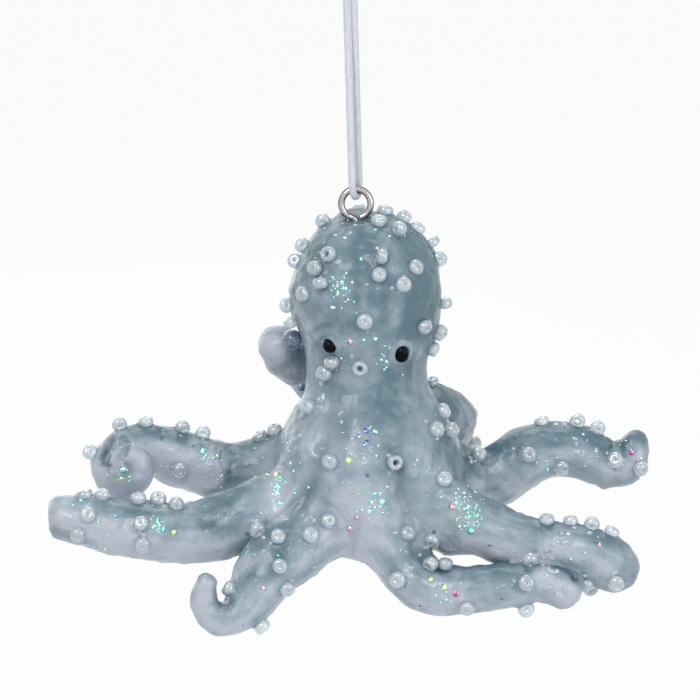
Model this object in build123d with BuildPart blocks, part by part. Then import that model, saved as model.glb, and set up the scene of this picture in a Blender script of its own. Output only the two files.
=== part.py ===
from build123d import *
import math
import os

os.makedirs("parts", exist_ok=True)

# Hanging thread: one strand doubled through the eye, its two ends tied in a knot at the top
thread_diameter = 1.0
thread_drop = 29.5
thread_lean = 0.9
thread_bend_clearance = 0.12
strand_spacing = 1.06
knot_diameter = 3.2
knot_height = 3.4
tail_length = 2.4
tail_lean_angle = 16.0

# Screw eye: a wire ring closed against its own shank
eye_wire = 0.9
eye_outer_diameter = 5.0
eye_bend_radius = 0.8
eye_free_end_angle = -62.0
shank_length = 9.0
shank_point_length = 1.4
shank_tip_share = 0.2
eye_sink = 0.9
wire_clearance = 0.06

# Head and body: one lump, with the hub inside it where all the arms start
head_width = 21.2
head_depth = 20.0
body_height = 47.6
head_offset_x = 1.4
head_offset_y = 0.9
hub_offset_x = 0.6
hub_offset_y = -1.0
hub_height_share = 0.79

# Arms: how far each one reaches from the hub, and how thick it is where it leaves the body
front_left_reach = 26.0
front_left_girth = 9.6
front_right_reach = 30.0
front_right_girth = 9.8
left_reach = 45.0
left_girth = 10.0
right_reach = 37.6
right_girth = 9.6
rear_left_reach = 38.0
rear_left_girth = 9.2
rear_right_reach = 39.4
rear_right_girth = 9.4
back_left_reach = 21.0
back_left_girth = 8.2
back_right_reach = 26.0
back_right_girth = 9.4

# Eyes: black beads, each in a ring of clay pressed on the face
eye_bead_diameter = 2.0
eye_rim_diameter = 4.6
eye_rim_height = 1.0
eye_proud_share = 0.62

# Seed beads, and how deep each one is pressed into the clay
bead_diameter = 2.1
bead_length = 1.5
bead_hole = 0.8
bead_end_share = 0.78
bead_sink = 0.4

# Flat sides round each form, the steps of its rounded ends as shares of a quarter turn,
# and the angle of a bend that calls for a ring more
body_side_count = 18
arm_side_count = 12
rim_side_count = 12
knot_side_count = 12
eye_side_count = 10
wire_side_count = 8
thread_side_count = 8
bead_side_count = 6
bead_hole_side_count = 4
tip_turn_shares = (0.36, 0.69)
eye_bead_turn_shares = (-0.80, -0.47, -0.16, 0.16, 0.47, 0.80)
bend_angle = 20
seat_step_share = 0.01
bend_share = 0.97

ring_radius = (eye_outer_diameter - eye_wire) / 2
ring_top_z = -thread_drop
ring_centre_z = ring_top_z - ring_radius
head_top_z = ring_centre_z - eye_outer_diameter / 2 + eye_sink
thread_bend_radius = (eye_wire + thread_diameter) / 2 + thread_bend_clearance
body_top = Vector(thread_lean + head_offset_x, head_offset_y, head_top_z)
body_axis_shares = (hub_offset_x / body_height, hub_offset_y / body_height)
hub = body_top + Vector(hub_offset_x, hub_offset_y, -body_height * hub_height_share)
toward_viewer = Vector(0, -1, 0)
quarter_turn = math.pi / 2

# Turned profiles: radius and height shares, of the rim's sizes and of the knot's
rim_profile_shares = ((1.0, -1.2), (1.0, 0.20), (0.86, 0.68), (0.62, 0.98), (0.30, 1.0))
knot_profile_shares = (
    (0.66, -0.50), (0.94, -0.38), (1.00, -0.22), (0.84, -0.02), (0.98, 0.16), (0.90, 0.34), (0.60, 0.47),
)

# The body from the crown down: the share of its height, and the girth there as a share of the head's
body_shares = (
    (0.000, 0.14), (0.008, 0.30), (0.026, 0.49), (0.056, 0.68), (0.095, 0.83), (0.145, 0.94),
    (0.230, 1.00), (0.300, 0.97), (0.360, 0.89), (0.420, 0.80), (0.480, 0.78), (0.540, 0.86),
    (0.600, 1.01), (0.670, 1.16), (0.760, 1.20), (0.850, 1.12), (0.930, 0.95), (0.985, 0.70),
)
body_foot_share = 0.36

# Each arm from the hub to the tip: x, y and z shares of its reach, and its girth share
arm_shares = {
    "arm_front_left": (
        (-0.10, -0.10, -0.06, 1.00), (-0.28, -0.27, -0.21, 1.04), (-0.472, -0.38, -0.35, 0.98),
        (-0.60, -0.46, -0.485, 0.85), (-0.68, -0.50, -0.600, 0.68), (-0.765, -0.53, -0.652, 0.57),
        (-0.86, -0.55, -0.610, 0.47), (-0.885, -0.57, -0.518, 0.40), (-0.870, -0.58, -0.440, 0.32),
    ),
    "arm_front_right": (
        (0.02, -0.10, -0.06, 1.00), (0.10, -0.25, -0.235, 0.97), (0.18, -0.34, -0.37, 0.78),
        (0.28, -0.39, -0.440, 0.75), (0.42, -0.41, -0.450, 0.69), (0.61, -0.41, -0.435, 0.59),
        (0.79, -0.40, -0.418, 0.52), (0.903, -0.39, -0.450, 0.56),
    ),
    "arm_left": (
        (-0.06, -0.03, -0.02, 1.00), (-0.22, -0.09, -0.05, 1.02), (-0.39, -0.13, -0.103, 0.92),
        (-0.53, -0.155, -0.138, 0.85), (-0.685, -0.17, -0.137, 0.78), (-0.84, -0.18, -0.113, 0.71),
        (-0.955, -0.18, -0.096, 0.63),
    ),
    "arm_right": (
        (0.05, -0.05, -0.02, 1.00), (0.22, -0.13, -0.075, 1.05), (0.39, -0.185, -0.135, 0.89),
        (0.56, -0.21, -0.198, 0.77), (0.71, -0.225, -0.22, 0.68), (0.84, -0.24, -0.247, 0.76),
        (0.903, -0.22, -0.287, 0.79),
    ),
    "arm_rear_left": (
        (-0.11, 0.08, 0.06, 1.00), (-0.275, 0.16, 0.035, 1.02), (-0.44, 0.185, -0.008, 0.93),
        (-0.61, 0.185, -0.004, 0.91), (-0.755, 0.155, 0.050, 0.85), (-0.870, 0.125, 0.10, 0.66),
        (-0.975, 0.075, 0.065, 0.51), (-0.975, 0.020, 0.005, 0.45), (-0.90, -0.015, -0.010, 0.43),
        (-0.850, -0.045, 0.045, 0.37), (-0.885, -0.060, 0.095, 0.29),
    ),
    "arm_rear_right": (
        (0.105, 0.08, 0.04, 1.00), (0.27, 0.15, 0.00, 1.00), (0.425, 0.18, -0.045, 0.95),
        (0.55, 0.19, 0.025, 0.93), (0.675, 0.20, 0.06, 0.86), (0.79, 0.20, 0.04, 0.80),
        (0.880, 0.19, 0.008, 0.69), (0.948, 0.18, 0.042, 0.55), (0.980, 0.175, 0.104, 0.35),
    ),
    "arm_back_left": (
        (-0.11, 0.28, 0.06, 1.00), (-0.18, 0.48, 0.24, 0.96), (-0.27, 0.54, 0.45, 0.90),
        (-0.41, 0.48, 0.63, 0.78), (-0.55, 0.36, 0.76, 0.75), (-0.62, 0.26, 0.86, 0.67),
    ),
    "arm_back_right": (
        (0.13, 0.24, 0.07, 1.00), (0.28, 0.39, 0.20, 0.97), (0.385, 0.51, 0.25, 0.93),
        (0.44, 0.68, 0.15, 0.83), (0.455, 0.83, 0.02, 0.66), (0.48, 0.95, -0.08, 0.52),
        (0.52, 1.01, -0.09, 0.38),
    ),
}

# How far each blunt tip stands out past the last row, as a share of the half girth there
tip_share = 0.7
tip_shares = {"arm_left": 0.72, "arm_right": 0.85, "arm_back_left": 0.8}

# A bead stands on its end, or lies with its hole round the form or along it
STAND = "stand"
ROUND = "round"
ALONG = "along"

# Beads by the form that carries them: share of its spine, angle round it, and pose
bead_place_shares = {
    "head_and_body": (
        (0.033, -90, ROUND), (0.095, -88, ROUND), (0.142, -92, ROUND), (0.106, -33, STAND),
        (0.146, -43, STAND), (0.184, -36, ALONG), (0.222, -52, STAND), (0.273, -96, ROUND),
        (0.318, -86, ALONG), (0.005, 100, STAND), (0.018, 24, STAND), (0.025, 92, STAND),
        (0.046, 42, ROUND), (0.052, 88, STAND), (0.095, 90, ALONG), (0.141, 88, ROUND),
        (0.110, 12, ROUND), (0.158, 9, STAND), (0.146, 41, STAND), (0.188, 27, STAND),
        (0.270, 90, ALONG), (0.290, -2, STAND), (0.322, 51, STAND), (0.358, 88, STAND),
        (0.405, 85, STAND), (0.420, -34, ALONG), (0.462, -43, STAND), (0.435, -7, STAND),
        (0.570, -53, STAND), (0.014, -165, STAND), (0.712, -24, STAND), (0.712, 16, STAND),
        (0.640, 51, STAND), (0.598, 74, STAND), (0.652, 70, STAND), (0.080, 150, STAND),
        (0.105, -150, ROUND), (0.165, 172, STAND), (0.170, 122, STAND), (0.205, -125, STAND),
        (0.265, 150, ALONG), (0.285, -165, STAND), (0.355, 132, STAND), (0.380, -142, STAND),
    ),
    "arm_front_left": (
        (0.23, 8, STAND), (0.32, 8, STAND), (0.42, 35, STAND), (0.50, 0, STAND),
        (0.54, -42, STAND), (0.67, 80, STAND), (0.70, -84, STAND), (0.45, 165, STAND),
    ),
    "arm_front_right": (
        (0.25, 36, STAND), (0.38, -20, STAND), (0.43, 62, ROUND), (0.52, 88, STAND),
        (0.61, -25, STAND), (0.84, 16, STAND), (0.83, -76, ROUND), (0.66, 170, STAND),
    ),
    "arm_left": (
        (0.94, 88, STAND), (0.885, 86, STAND), (0.76, 82, STAND), (0.69, 85, STAND),
        (0.62, 75, ROUND), (0.92, 30, STAND), (0.745, 26, STAND), (0.73, -12, STAND),
        (0.94, -14, STAND), (0.355, -18, STAND), (0.56, 150, STAND), (0.82, 165, STAND),
    ),
    "arm_right": (
        (0.25, 54, STAND), (0.70, 80, STAND), (0.80, 85, STAND), (0.87, 88, ROUND),
        (0.93, 84, STAND), (0.985, -86, ROUND), (0.905, -66, STAND), (0.99, -14, STAND), (0.66, -35, STAND),
        (0.26, -50, STAND), (0.58, 150, STAND), (0.80, 172, STAND),
    ),
    "arm_rear_left": (
        (0.467, 88, ROUND), (0.550, 88, ROUND), (0.635, 88, STAND), (0.685, 88, ROUND),
        (0.755, 90, ROUND), (0.52, -5, STAND), (0.235, 84, STAND), (0.18, 84, STAND),
        (0.40, 150, STAND), (0.56, 165, STAND),
    ),
    "arm_rear_right": (
        (0.60, 88, STAND), (0.695, 88, ROUND), (0.750, 85, ROUND), (0.53, 14, STAND),
        (0.65, -24, STAND), (0.885, 20, STAND), (0.93, -35, STAND), (0.28, 60, STAND),
        (0.50, 160, STAND), (0.68, 145, STAND),
    ),
    "arm_back_left": (
        (0.93, 75, ROUND), (0.62, 175, STAND), (0.35, -150, STAND),
    ),
    "arm_back_right": (
        (0.36, 80, STAND), (0.62, 120, STAND), (0.78, 90, ROUND), (0.70, 175, STAND),
        (0.90, 130, STAND),
    ),
}

# The eyes' shares of the body's spine, with the angle round it
eye_place_shares = {"left": (0.374, -35), "right": (0.396, 30.5)}


def flat_skin(rings):
    """A closed solid whose sections, one after another, are joined by flat triangles."""
    faces = []
    for ring, following in zip(rings, rings[1:]):
        count = len(ring)
        for i in range(count):
            j = (i + 1) % count
            faces.append(Face(Wire.make_polygon([ring[i], ring[j], following[j]])))
            faces.append(Face(Wire.make_polygon([ring[i], following[j], following[i]])))
    faces.append(Face(Wire.make_polygon(rings[0])))
    faces.append(Face(Wire.make_polygon(rings[-1])))
    return Solid(Shell(faces))


class ClayForm:
    """A lump rolled from clay: a smooth spine, and a girth at each of the spine's points.

    The spine's points are shares of the reach, and each girth is a share of the named one.
    hand is 1 where the upper side is on the left of someone who walks out along the spine
    and looks towards the viewer's side, and -1 where it is on the right.
    """

    def __init__(self, start, reach, girth, shares, blunt, hand, depth_share=1.0, sides=arm_side_count):
        self.points = [start + Vector(x, y, z) * reach for x, y, z, _ in shares]
        self.radii = [girth / 2 * share for *_, share in shares]
        self.hand, self.depth_share, self.sides, self.blunt = hand, depth_share, sides, blunt
        steps = [0.0]
        for a, b in zip(self.points, self.points[1:]):
            steps.append(steps[-1] + (b - a).length)
        self.stations = [step / steps[-1] for step in steps]
        self.spine = Edge.make_spline(self.points, parameters=self.stations)

    def radius(self, station):
        """The half girth at a share of the spine."""
        for i in range(len(self.stations) - 1):
            low, high = self.stations[i], self.stations[i + 1]
            if station <= high:
                share = (station - low) / (high - low)
                return self.radii[i] + (self.radii[i + 1] - self.radii[i]) * share
        return self.radii[-1]

    def axes(self, station):
        """The spine's direction, the one towards the viewer and the one to the upper side."""
        along = self.spine.tangent_at(station)
        front = (toward_viewer - along * toward_viewer.dot(along)).normalized()
        return along, front, along.cross(front) * self.hand

    def rim_point(self, station, angle, radius=None, advance=0.0):
        """A point on the surface: angle 0 faces the viewer, and 90 is the upper side."""
        along, front, upper = self.axes(station)
        radius = self.radius(station) if radius is None else radius
        turn = math.radians(angle)
        out = front * (math.cos(turn) * self.depth_share) + upper * math.sin(turn)
        return self.spine.position_at(station) + out * radius + along * advance

    def ring(self, station, shrink=1.0, advance=0.0):
        """The corners of a section whose flat sides touch the round one."""
        radius = self.radius(station) * shrink / math.cos(math.pi / self.sides)
        turns = [360 * i / self.sides for i in range(self.sides)]
        return [self.rim_point(station, turn, radius, advance) for turn in turns]

    def solid(self):
        """The whole lump: a section at each point of the spine, one more in each bend, a round tip."""
        rings = [self.ring(0)]
        for low, high in zip(self.stations, self.stations[1:]):
            turn = self.spine.tangent_at(low).get_angle(self.spine.tangent_at(high))
            if turn > bend_angle:
                rings.append(self.ring((low + high) / 2))
            rings.append(self.ring(high))
        for turn_share in tip_turn_shares:
            cap = quarter_turn * turn_share
            rings.append(self.ring(1, math.cos(cap), self.radii[-1] * self.blunt * math.sin(cap)))
        return flat_skin(rings)

    def seat(self, station, angle, half_height):
        """The point where a bead's middle lies, and the surface's outward and spinewise directions."""
        step = seat_step_share
        here = self.rim_point(station, angle)
        before = self.rim_point(max(station - step, 0), angle)
        after = self.rim_point(min(station + step, 1), angle)
        spinewise = (after - before).normalized()
        across = (self.rim_point(station, angle + 1) - self.rim_point(station, angle - 1)).normalized()
        out = spinewise.cross(across).normalized()
        if out.dot(here - self.spine.position_at(station)) < 0:
            out = out * -1
        return here + out * (half_height - bead_sink), out, spinewise, across


def bead_planes(form, places):
    """The plane of each bead's middle section, from its share of the spine, angle and pose."""
    planes = []
    for station, angle, pose in places:
        half_height = bead_length / 2 if pose == STAND else bead_diameter / 2
        centre, out, spinewise, across = form.seat(station, angle, half_height)
        axis = {STAND: out, ROUND: across, ALONG: spinewise}[pose]
        planes.append(Plane(origin=centre, x_dir=spinewise if pose != ALONG else out, z_dir=axis))
    return planes


def turned(profile, sides):
    """A many-sided turned solid from flat faces, through (radius, height) pairs."""
    rings = []
    for radius, height in profile:
        turns = [2 * math.pi * i / sides for i in range(sides)]
        rings.append([Vector(radius * math.cos(turn), radius * math.sin(turn), height) for turn in turns])
    faces = [Face(Wire.make_polygon(rings[0])), Face(Wire.make_polygon(rings[-1]))]
    for ring, following in zip(rings, rings[1:]):
        for i in range(sides):
            j = (i + 1) % sides
            faces.append(Face(Wire.make_polygon([ring[i], ring[j], following[j], following[i]])))
    return Solid(Shell(faces))


def near(shape, others):
    """Those of the others whose boxes meet the shape's box."""
    box = shape.bounding_box()
    found = []
    for other in others:
        spot = other.bounding_box()
        apart = (
            spot.min.X > box.max.X or spot.max.X < box.min.X
            or spot.min.Y > box.max.Y or spot.max.Y < box.min.Y
            or spot.min.Z > box.max.Z or spot.max.Z < box.min.Z
        )
        if not apart:
            found.append(other)
    return found


def save(piece, name):
    """Label a finished piece and write its file."""
    piece.label = name
    export_step(piece, f"parts/{name}.step")


body_form = ClayForm(
    body_top, body_height, head_width,
    [(body_axis_shares[0] * row, body_axis_shares[1] * row, -row, girth) for row, girth in body_shares],
    body_foot_share, hand=-1, depth_share=head_depth / head_width, sides=body_side_count,
)
arm_sizes = {
    "arm_front_left": (front_left_reach, front_left_girth),
    "arm_front_right": (front_right_reach, front_right_girth),
    "arm_left": (left_reach, left_girth),
    "arm_right": (right_reach, right_girth),
    "arm_rear_left": (rear_left_reach, rear_left_girth),
    "arm_rear_right": (rear_right_reach, rear_right_girth),
    "arm_back_left": (back_left_reach, back_left_girth),
    "arm_back_right": (back_right_reach, back_right_girth),
}
arm_forms = {
    name: ClayForm(
        hub, reach, girth, arm_shares[name], tip_shares.get(name, tip_share),
        hand=-1 if name.endswith("right") else 1,
    )
    for name, (reach, girth) in arm_sizes.items()
}
forms = {"head_and_body": body_form, **arm_forms}
plain_clay = {name: form.solid() for name, form in forms.items()}

# Seed bead, and the blank without its hole that presses a dent of its own shape into the clay
bead_blank = turned(
    [
        (bead_diameter / 2 * bead_end_share, -bead_length / 2),
        (bead_diameter / 2, 0),
        (bead_diameter / 2 * bead_end_share, bead_length / 2),
    ],
    bead_side_count,
)
with BuildPart() as seed_bead:
    add(bead_blank)
    with BuildSketch(Plane.XY.offset(-bead_length / 2)):
        RegularPolygon(radius=bead_hole / 2, side_count=bead_hole_side_count)
    extrude(amount=bead_length, mode=Mode.SUBTRACT)

planes_by_form = {name: bead_planes(forms[name], places) for name, places in bead_place_shares.items()}
bead_dents = [
    bead_blank.moved(plane.location) for planes in planes_by_form.values() for plane in planes
]
for name, planes in planes_by_form.items():
    with BuildPart() as beads:
        with Locations(*[plane.location for plane in planes]):
            add(seed_bead.part)
    save(beads.part, "head_beads" if name == "head_and_body" else f"{name}_beads")

# Eyes, each pressed half way into the face, with a rim of clay round it
eye_bead_radius = eye_bead_diameter / 2
eye_bead_blank = turned(
    [
        (eye_bead_radius * math.cos(quarter_turn * share), eye_bead_radius * math.sin(quarter_turn * share))
        for share in eye_bead_turn_shares
    ],
    eye_side_count,
)
rim_blank = turned(
    [
        (eye_rim_diameter / 2 * radius_share, eye_rim_height * height_share)
        for radius_share, height_share in rim_profile_shares
    ],
    rim_side_count,
)
eye_beads = []
for side, (station, angle) in eye_place_shares.items():
    surface_point, out, spinewise, _ = body_form.seat(station, angle, bead_sink)
    face_plane = Plane(origin=surface_point, x_dir=spinewise, z_dir=out)
    bead_offset = eye_bead_diameter * (eye_proud_share - 0.5)
    with BuildPart() as eye_bead:
        add(eye_bead_blank.moved(face_plane.offset(bead_offset).location))
    with BuildPart() as eye_rim:
        add(rim_blank.moved(face_plane.location))
        add(plain_clay["head_and_body"], mode=Mode.SUBTRACT)
        add(eye_bead.part, mode=Mode.SUBTRACT)
        add(near(eye_rim.part, bead_dents), mode=Mode.SUBTRACT)
    eye_beads.append(eye_bead.part)
    save(eye_bead.part, f"eye_bead_{side}")
    save(eye_rim.part, f"eye_rim_{side}")

# Screw eye, in the plane that faces the viewer
eye_plane = Plane(origin=(thread_lean, 0, ring_centre_z), x_dir=(1, 0, 0), z_dir=(0, -1, 0))
bend_drop = math.sqrt(ring_radius**2 + 2 * ring_radius * eye_bend_radius)
join_angle = math.degrees(math.atan2(bend_drop, eye_bend_radius))
with BuildPart() as screw_eye:
    with BuildLine(eye_plane) as eye_path:
        Line((0, -bend_drop - shank_length), (0, -bend_drop))
        CenterArc((-eye_bend_radius, -bend_drop), eye_bend_radius, 0, join_angle)
        CenterArc((0, 0), ring_radius, 180 + join_angle, eye_free_end_angle - 180 - join_angle)
    with BuildSketch(Plane(origin=eye_path.line @ 0, z_dir=(0, 0, 1))):
        RegularPolygon(radius=eye_wire / 2, side_count=wire_side_count)
    sweep(path=eye_path.line)
    with BuildSketch(Plane(origin=eye_path.line @ 0, z_dir=(0, 0, -1))):
        RegularPolygon(radius=eye_wire / 2, side_count=wire_side_count)
    point_inset = eye_wire / 2 * (1 - shank_tip_share)
    extrude(amount=shank_point_length, taper=math.degrees(math.atan2(point_inset, shank_point_length)))
save(screw_eye.part, "screw_eye")

# Clay pieces: the body first, then each arm as it lies against those laid on before it
slot_half_length = math.sqrt(eye_outer_diameter * eye_sink - eye_sink**2) + wire_clearance
slot_half_width = eye_wire / 2 + wire_clearance
slot_floor_z = ring_centre_z - eye_outer_diameter / 2 - wire_clearance
shank_depth = bend_drop - eye_outer_diameter / 2 + shank_length + shank_point_length + wire_clearance
laid_on = []
for name, lump in plain_clay.items():
    with BuildPart() as clay:
        add(lump)
        if name == "head_and_body":
            with BuildSketch(Plane.XY.offset(slot_floor_z)):
                with Locations((thread_lean, 0)):
                    Rectangle(2 * slot_half_length, 2 * slot_half_width)
            extrude(amount=eye_outer_diameter, mode=Mode.SUBTRACT)
            with BuildSketch(Plane.XY.offset(slot_floor_z)):
                with Locations((thread_lean, 0)):
                    RegularPolygon(radius=slot_half_width, side_count=wire_side_count, major_radius=False)
            extrude(amount=-shank_depth, mode=Mode.SUBTRACT)
            add(eye_beads, mode=Mode.SUBTRACT)
        else:
            add(near(lump, laid_on), mode=Mode.SUBTRACT)
        add(near(lump, bead_dents), mode=Mode.SUBTRACT)
    laid_on.append(lump)
    save(clay.part.solids().sort_by(SortBy.VOLUME)[-1], name)

# Knot: a lump of two crossed turns, with the strand's two cut ends standing out of it
with BuildPart() as thread_knot:
    add(turned([(knot_diameter / 2 * r, knot_height * z) for r, z in knot_profile_shares], knot_side_count))
    for lean in (-tail_lean_angle, tail_lean_angle):
        with BuildSketch(Plane.XY.rotated((0, lean, 0))):
            RegularPolygon(radius=thread_diameter / 2, side_count=thread_side_count)
        extrude(amount=knot_height / 2 + tail_length)
save(thread_knot.part, "thread_knot")

# Hanging thread: down one strand, round the ring's wire and up the other
bend_bottom_z = ring_top_z - thread_bend_radius
route = (
    (-strand_spacing / 2, 0, 0),
    (thread_lean, -thread_bend_radius, bend_bottom_z),
    (thread_lean, thread_bend_radius, bend_bottom_z),
    (strand_spacing / 2, 0, 0),
)
bend_radii = [thread_bend_radius * bend_share] * 2
with BuildPart() as hanging_thread:
    with BuildLine() as thread_path:
        FilletPolyline(*route, radius=bend_radii)
    with BuildSketch(Plane(origin=thread_path.line @ 0, z_dir=thread_path.line % 0)):
        RegularPolygon(radius=thread_diameter / 2, side_count=thread_side_count)
    sweep(path=thread_path.line)
    add(thread_knot.part, mode=Mode.SUBTRACT)
save(hanging_thread.part, "hanging_thread")
thread_length = sum(edge.length for edge in thread_path.line.edges())
print(f"thread length {thread_length:.1f}, bend radii {bend_radii}")
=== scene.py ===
"""Hanging octopus ornament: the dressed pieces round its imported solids.

Lengths inside this file are millimetres unless a name says otherwise, in the solids' own frame:
+Z up along the thread, -Y out of the face, +X to the viewer's right. Meshes are written in metres.
"""

import logging
import math
from dataclasses import dataclass, field
from enum import Enum

import bpy
import numpy as np
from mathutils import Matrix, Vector


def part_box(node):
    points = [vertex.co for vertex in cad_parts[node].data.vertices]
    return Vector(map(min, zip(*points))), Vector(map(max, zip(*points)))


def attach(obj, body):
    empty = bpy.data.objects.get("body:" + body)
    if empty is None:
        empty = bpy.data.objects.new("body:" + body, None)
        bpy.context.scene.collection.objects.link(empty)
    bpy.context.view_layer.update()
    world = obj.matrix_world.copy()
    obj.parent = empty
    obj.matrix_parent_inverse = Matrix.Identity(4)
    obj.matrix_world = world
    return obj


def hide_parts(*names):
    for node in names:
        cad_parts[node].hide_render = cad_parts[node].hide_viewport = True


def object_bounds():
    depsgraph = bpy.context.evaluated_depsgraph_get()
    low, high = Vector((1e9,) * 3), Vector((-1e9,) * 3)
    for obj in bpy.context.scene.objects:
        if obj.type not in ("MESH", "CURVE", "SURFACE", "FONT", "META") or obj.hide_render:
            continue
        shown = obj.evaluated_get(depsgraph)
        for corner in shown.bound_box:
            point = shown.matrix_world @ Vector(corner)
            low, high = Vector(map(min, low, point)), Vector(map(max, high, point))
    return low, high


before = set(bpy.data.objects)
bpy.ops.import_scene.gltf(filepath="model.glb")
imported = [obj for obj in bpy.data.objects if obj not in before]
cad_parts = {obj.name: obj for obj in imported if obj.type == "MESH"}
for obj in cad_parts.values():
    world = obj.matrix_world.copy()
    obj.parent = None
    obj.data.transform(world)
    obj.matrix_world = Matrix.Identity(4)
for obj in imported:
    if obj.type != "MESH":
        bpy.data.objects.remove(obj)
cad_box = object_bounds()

log = logging.getLogger("octopus")
MM = 0.001
Array = np.ndarray
Material = bpy.types.Material
Socket = bpy.types.NodeSocket
TOWARD_VIEWER = np.array([0.0, -1.0, 0.0])


class Slot(Enum):
    """The record's material slots."""

    CLAY = "clay"
    EYE = "eye"
    BEAD = "seed_bead"
    NICKEL = "nickel"
    THREAD = "thread"


class Body(Enum):
    """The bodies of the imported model."""

    THREAD = "thread"
    FIGURINE = "figurine"


# ---------------- shapes


class SmoothCurve:
    """A twice smooth curve through given values: cubic pieces whose slopes and bends agree at each knot."""

    def __init__(self, knots: Array, values: Array) -> None:
        """Solve for the slopes at the knots.

        Args:
            knots: increasing parameters, one for each value.
            values: rows that the curve passes through.
        """
        self.knots = np.asarray(knots, float)
        self.values = np.asarray(values, float).reshape(len(self.knots), -1)
        count = len(self.knots)
        step = np.diff(self.knots)
        rise = np.diff(self.values, axis=0) / step[:, None]
        matrix = np.zeros((count, count))
        right = np.zeros((count, self.values.shape[1]))
        matrix[0, 0] = matrix[-1, -1] = 1.0
        right[0] = self._end_slope(self.knots[:4], self.values[:4])
        right[-1] = self._end_slope(self.knots[:-5:-1], self.values[:-5:-1])
        rows = np.arange(1, count - 1)
        matrix[rows, rows - 1] = 1 / step[:-1]
        matrix[rows, rows] = 2 / step[:-1] + 2 / step[1:]
        matrix[rows, rows + 1] = 1 / step[1:]
        right[1:-1] = 3 * (rise[:-1] / step[:-1, None] + rise[1:] / step[1:, None])
        self.slopes = np.linalg.solve(matrix, right)

    @staticmethod
    def _end_slope(knots: Array, values: Array) -> Array:
        """The slope, at the first knot, of the one cubic through four points."""
        powers = np.vander(knots - knots[0], increasing=True)
        return np.linalg.solve(powers, values)[1]

    def at(self, parameters: Array) -> tuple[Array, Array]:
        """Values and slopes at the given parameters, by the cubic Hermite formula.

        Args:
            parameters: where to read the curve; past an end it runs straight on.

        Returns:
            The values and the slopes, one row for each parameter.
        """
        t = np.clip(parameters, self.knots[0], self.knots[-1])
        i = np.clip(np.searchsorted(self.knots, t, side="right") - 1, 0, len(self.knots) - 2)
        h = (self.knots[i + 1] - self.knots[i])[:, None]
        s = (t - self.knots[i])[:, None] / h
        a, b, da, db = self.values[i], self.values[i + 1], self.slopes[i], self.slopes[i + 1]
        value = a + s * h * da + s * s * (3 * (b - a) - h * (2 * da + db)) + s**3 * (2 * (a - b) + h * (da + db))
        slope = da + s * (6 * (b - a) / h - 2 * (2 * da + db)) + s * s * (6 * (a - b) / h + 3 * (da + db))
        return value + slope * (parameters - t)[:, None], slope


def unit(vectors: Array) -> Array:
    """Each row divided by its own length."""
    return vectors / np.maximum(np.linalg.norm(vectors, axis=-1, keepdims=True), 1e-12)


def round_angles(count: int) -> Array:
    """The angles of so many points, evenly round a circle."""
    return np.arange(count) * 2 * np.pi / count


def smooth_step(low: float, high: float, values: Array) -> Array:
    """0 below low, 1 above high, and the cubic 3s^2 - 2s^3 between."""
    s = np.clip((values - low) / (high - low), 0, 1)
    return s * s * (3 - 2 * s)


def solids_box() -> tuple[Array, Array]:
    """The lowest and the highest corner of the solids' box, in millimetres."""
    low, high = (np.array(corner) / MM for corner in cad_box)
    return low, high


def held_in_box(points: Array) -> Array:
    """The points moved together, where they pass a side of the solids' box, until they touch it from inside."""
    low, high = solids_box()
    return points + np.maximum(low - points.min(0), 0) - np.maximum(points.max(0) - high, 0)


def carried_rings(path: Array, radius: Array, first: Array, second: Array, sides: int) -> Array:
    """Circles carried along a path: the path's point plus the radius times first cos a + second sin a."""
    angle = round_angles(sides)[:, None]
    return path[:, None] + radius[:, None, None] * (first[:, None] * np.cos(angle) + second[:, None] * np.sin(angle))


class Ripple:
    """A smooth, seeded, uneven surface: the mean of many sine waves that run in different directions."""

    def __init__(self, seed: int, wavelength: float, waves: int = 28) -> None:
        """Draw the waves' directions, lengths and phases.

        Args:
            seed: what they are drawn from.
            wavelength: about how long they are.
            waves: how many there are.
        """
        draw = np.random.default_rng(seed)
        lengths = wavelength * draw.uniform(0.7, 1.5, waves)
        self.vectors = unit(draw.normal(size=(waves, 3))) * (2 * np.pi / lengths)[:, None]
        self.phases = draw.uniform(0, 2 * np.pi, waves)

    def at(self, points: Array) -> Array:
        """The height, about -1 to 1, at each point."""
        return np.sin(points @ self.vectors.T + self.phases).sum(1) / math.sqrt(len(self.phases))


def grid_faces(rows: int, columns: int, first_pole: bool, last_pole: bool) -> list[list[int]]:
    """Faces of a grid whose columns close on themselves, with a fan at each pole.

    Args:
        rows: rings along the form.
        columns: points round each ring.
        first_pole: whether a single point, numbered rows * columns, closes the first ring.
        last_pole: whether the next number is a single point that closes the last ring.

    Returns:
        Lists of vertex numbers.
    """
    ring = np.arange(columns)
    after = (ring + 1) % columns
    base = (np.arange(rows - 1) * columns)[:, None]
    quads = np.stack([base + ring, base + after, base + columns + after, base + columns + ring], -1)
    faces = quads.reshape(-1, 4).tolist()
    pole = rows * columns
    if first_pole:
        faces += np.stack([after, ring, np.full(columns, pole)], -1).tolist()
        pole += 1
    if last_pole:
        top = (rows - 1) * columns
        faces += np.stack([top + ring, top + after, np.full(columns, pole)], -1).tolist()
    return faces


def unit_ball(rows: int, columns: int) -> tuple[Array, list[list[int]]]:
    """A ball of radius 1: rings of the tilt's sine, at the height of its cosine, between two poles.

    Args:
        rows: rings between the poles.
        columns: points round each ring.

    Returns:
        The points and the faces.
    """
    tilt, angle = np.linspace(0, np.pi, rows + 2)[1:-1, None], round_angles(columns)
    rings = np.stack([np.sin(tilt) * np.cos(angle), np.sin(tilt) * np.sin(angle), np.cos(tilt) + 0 * angle], -1)
    return np.vstack([rings.reshape(-1, 3), [[0, 0, 1], [0, 0, -1]]]), grid_faces(rows, columns, True, True)


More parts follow.
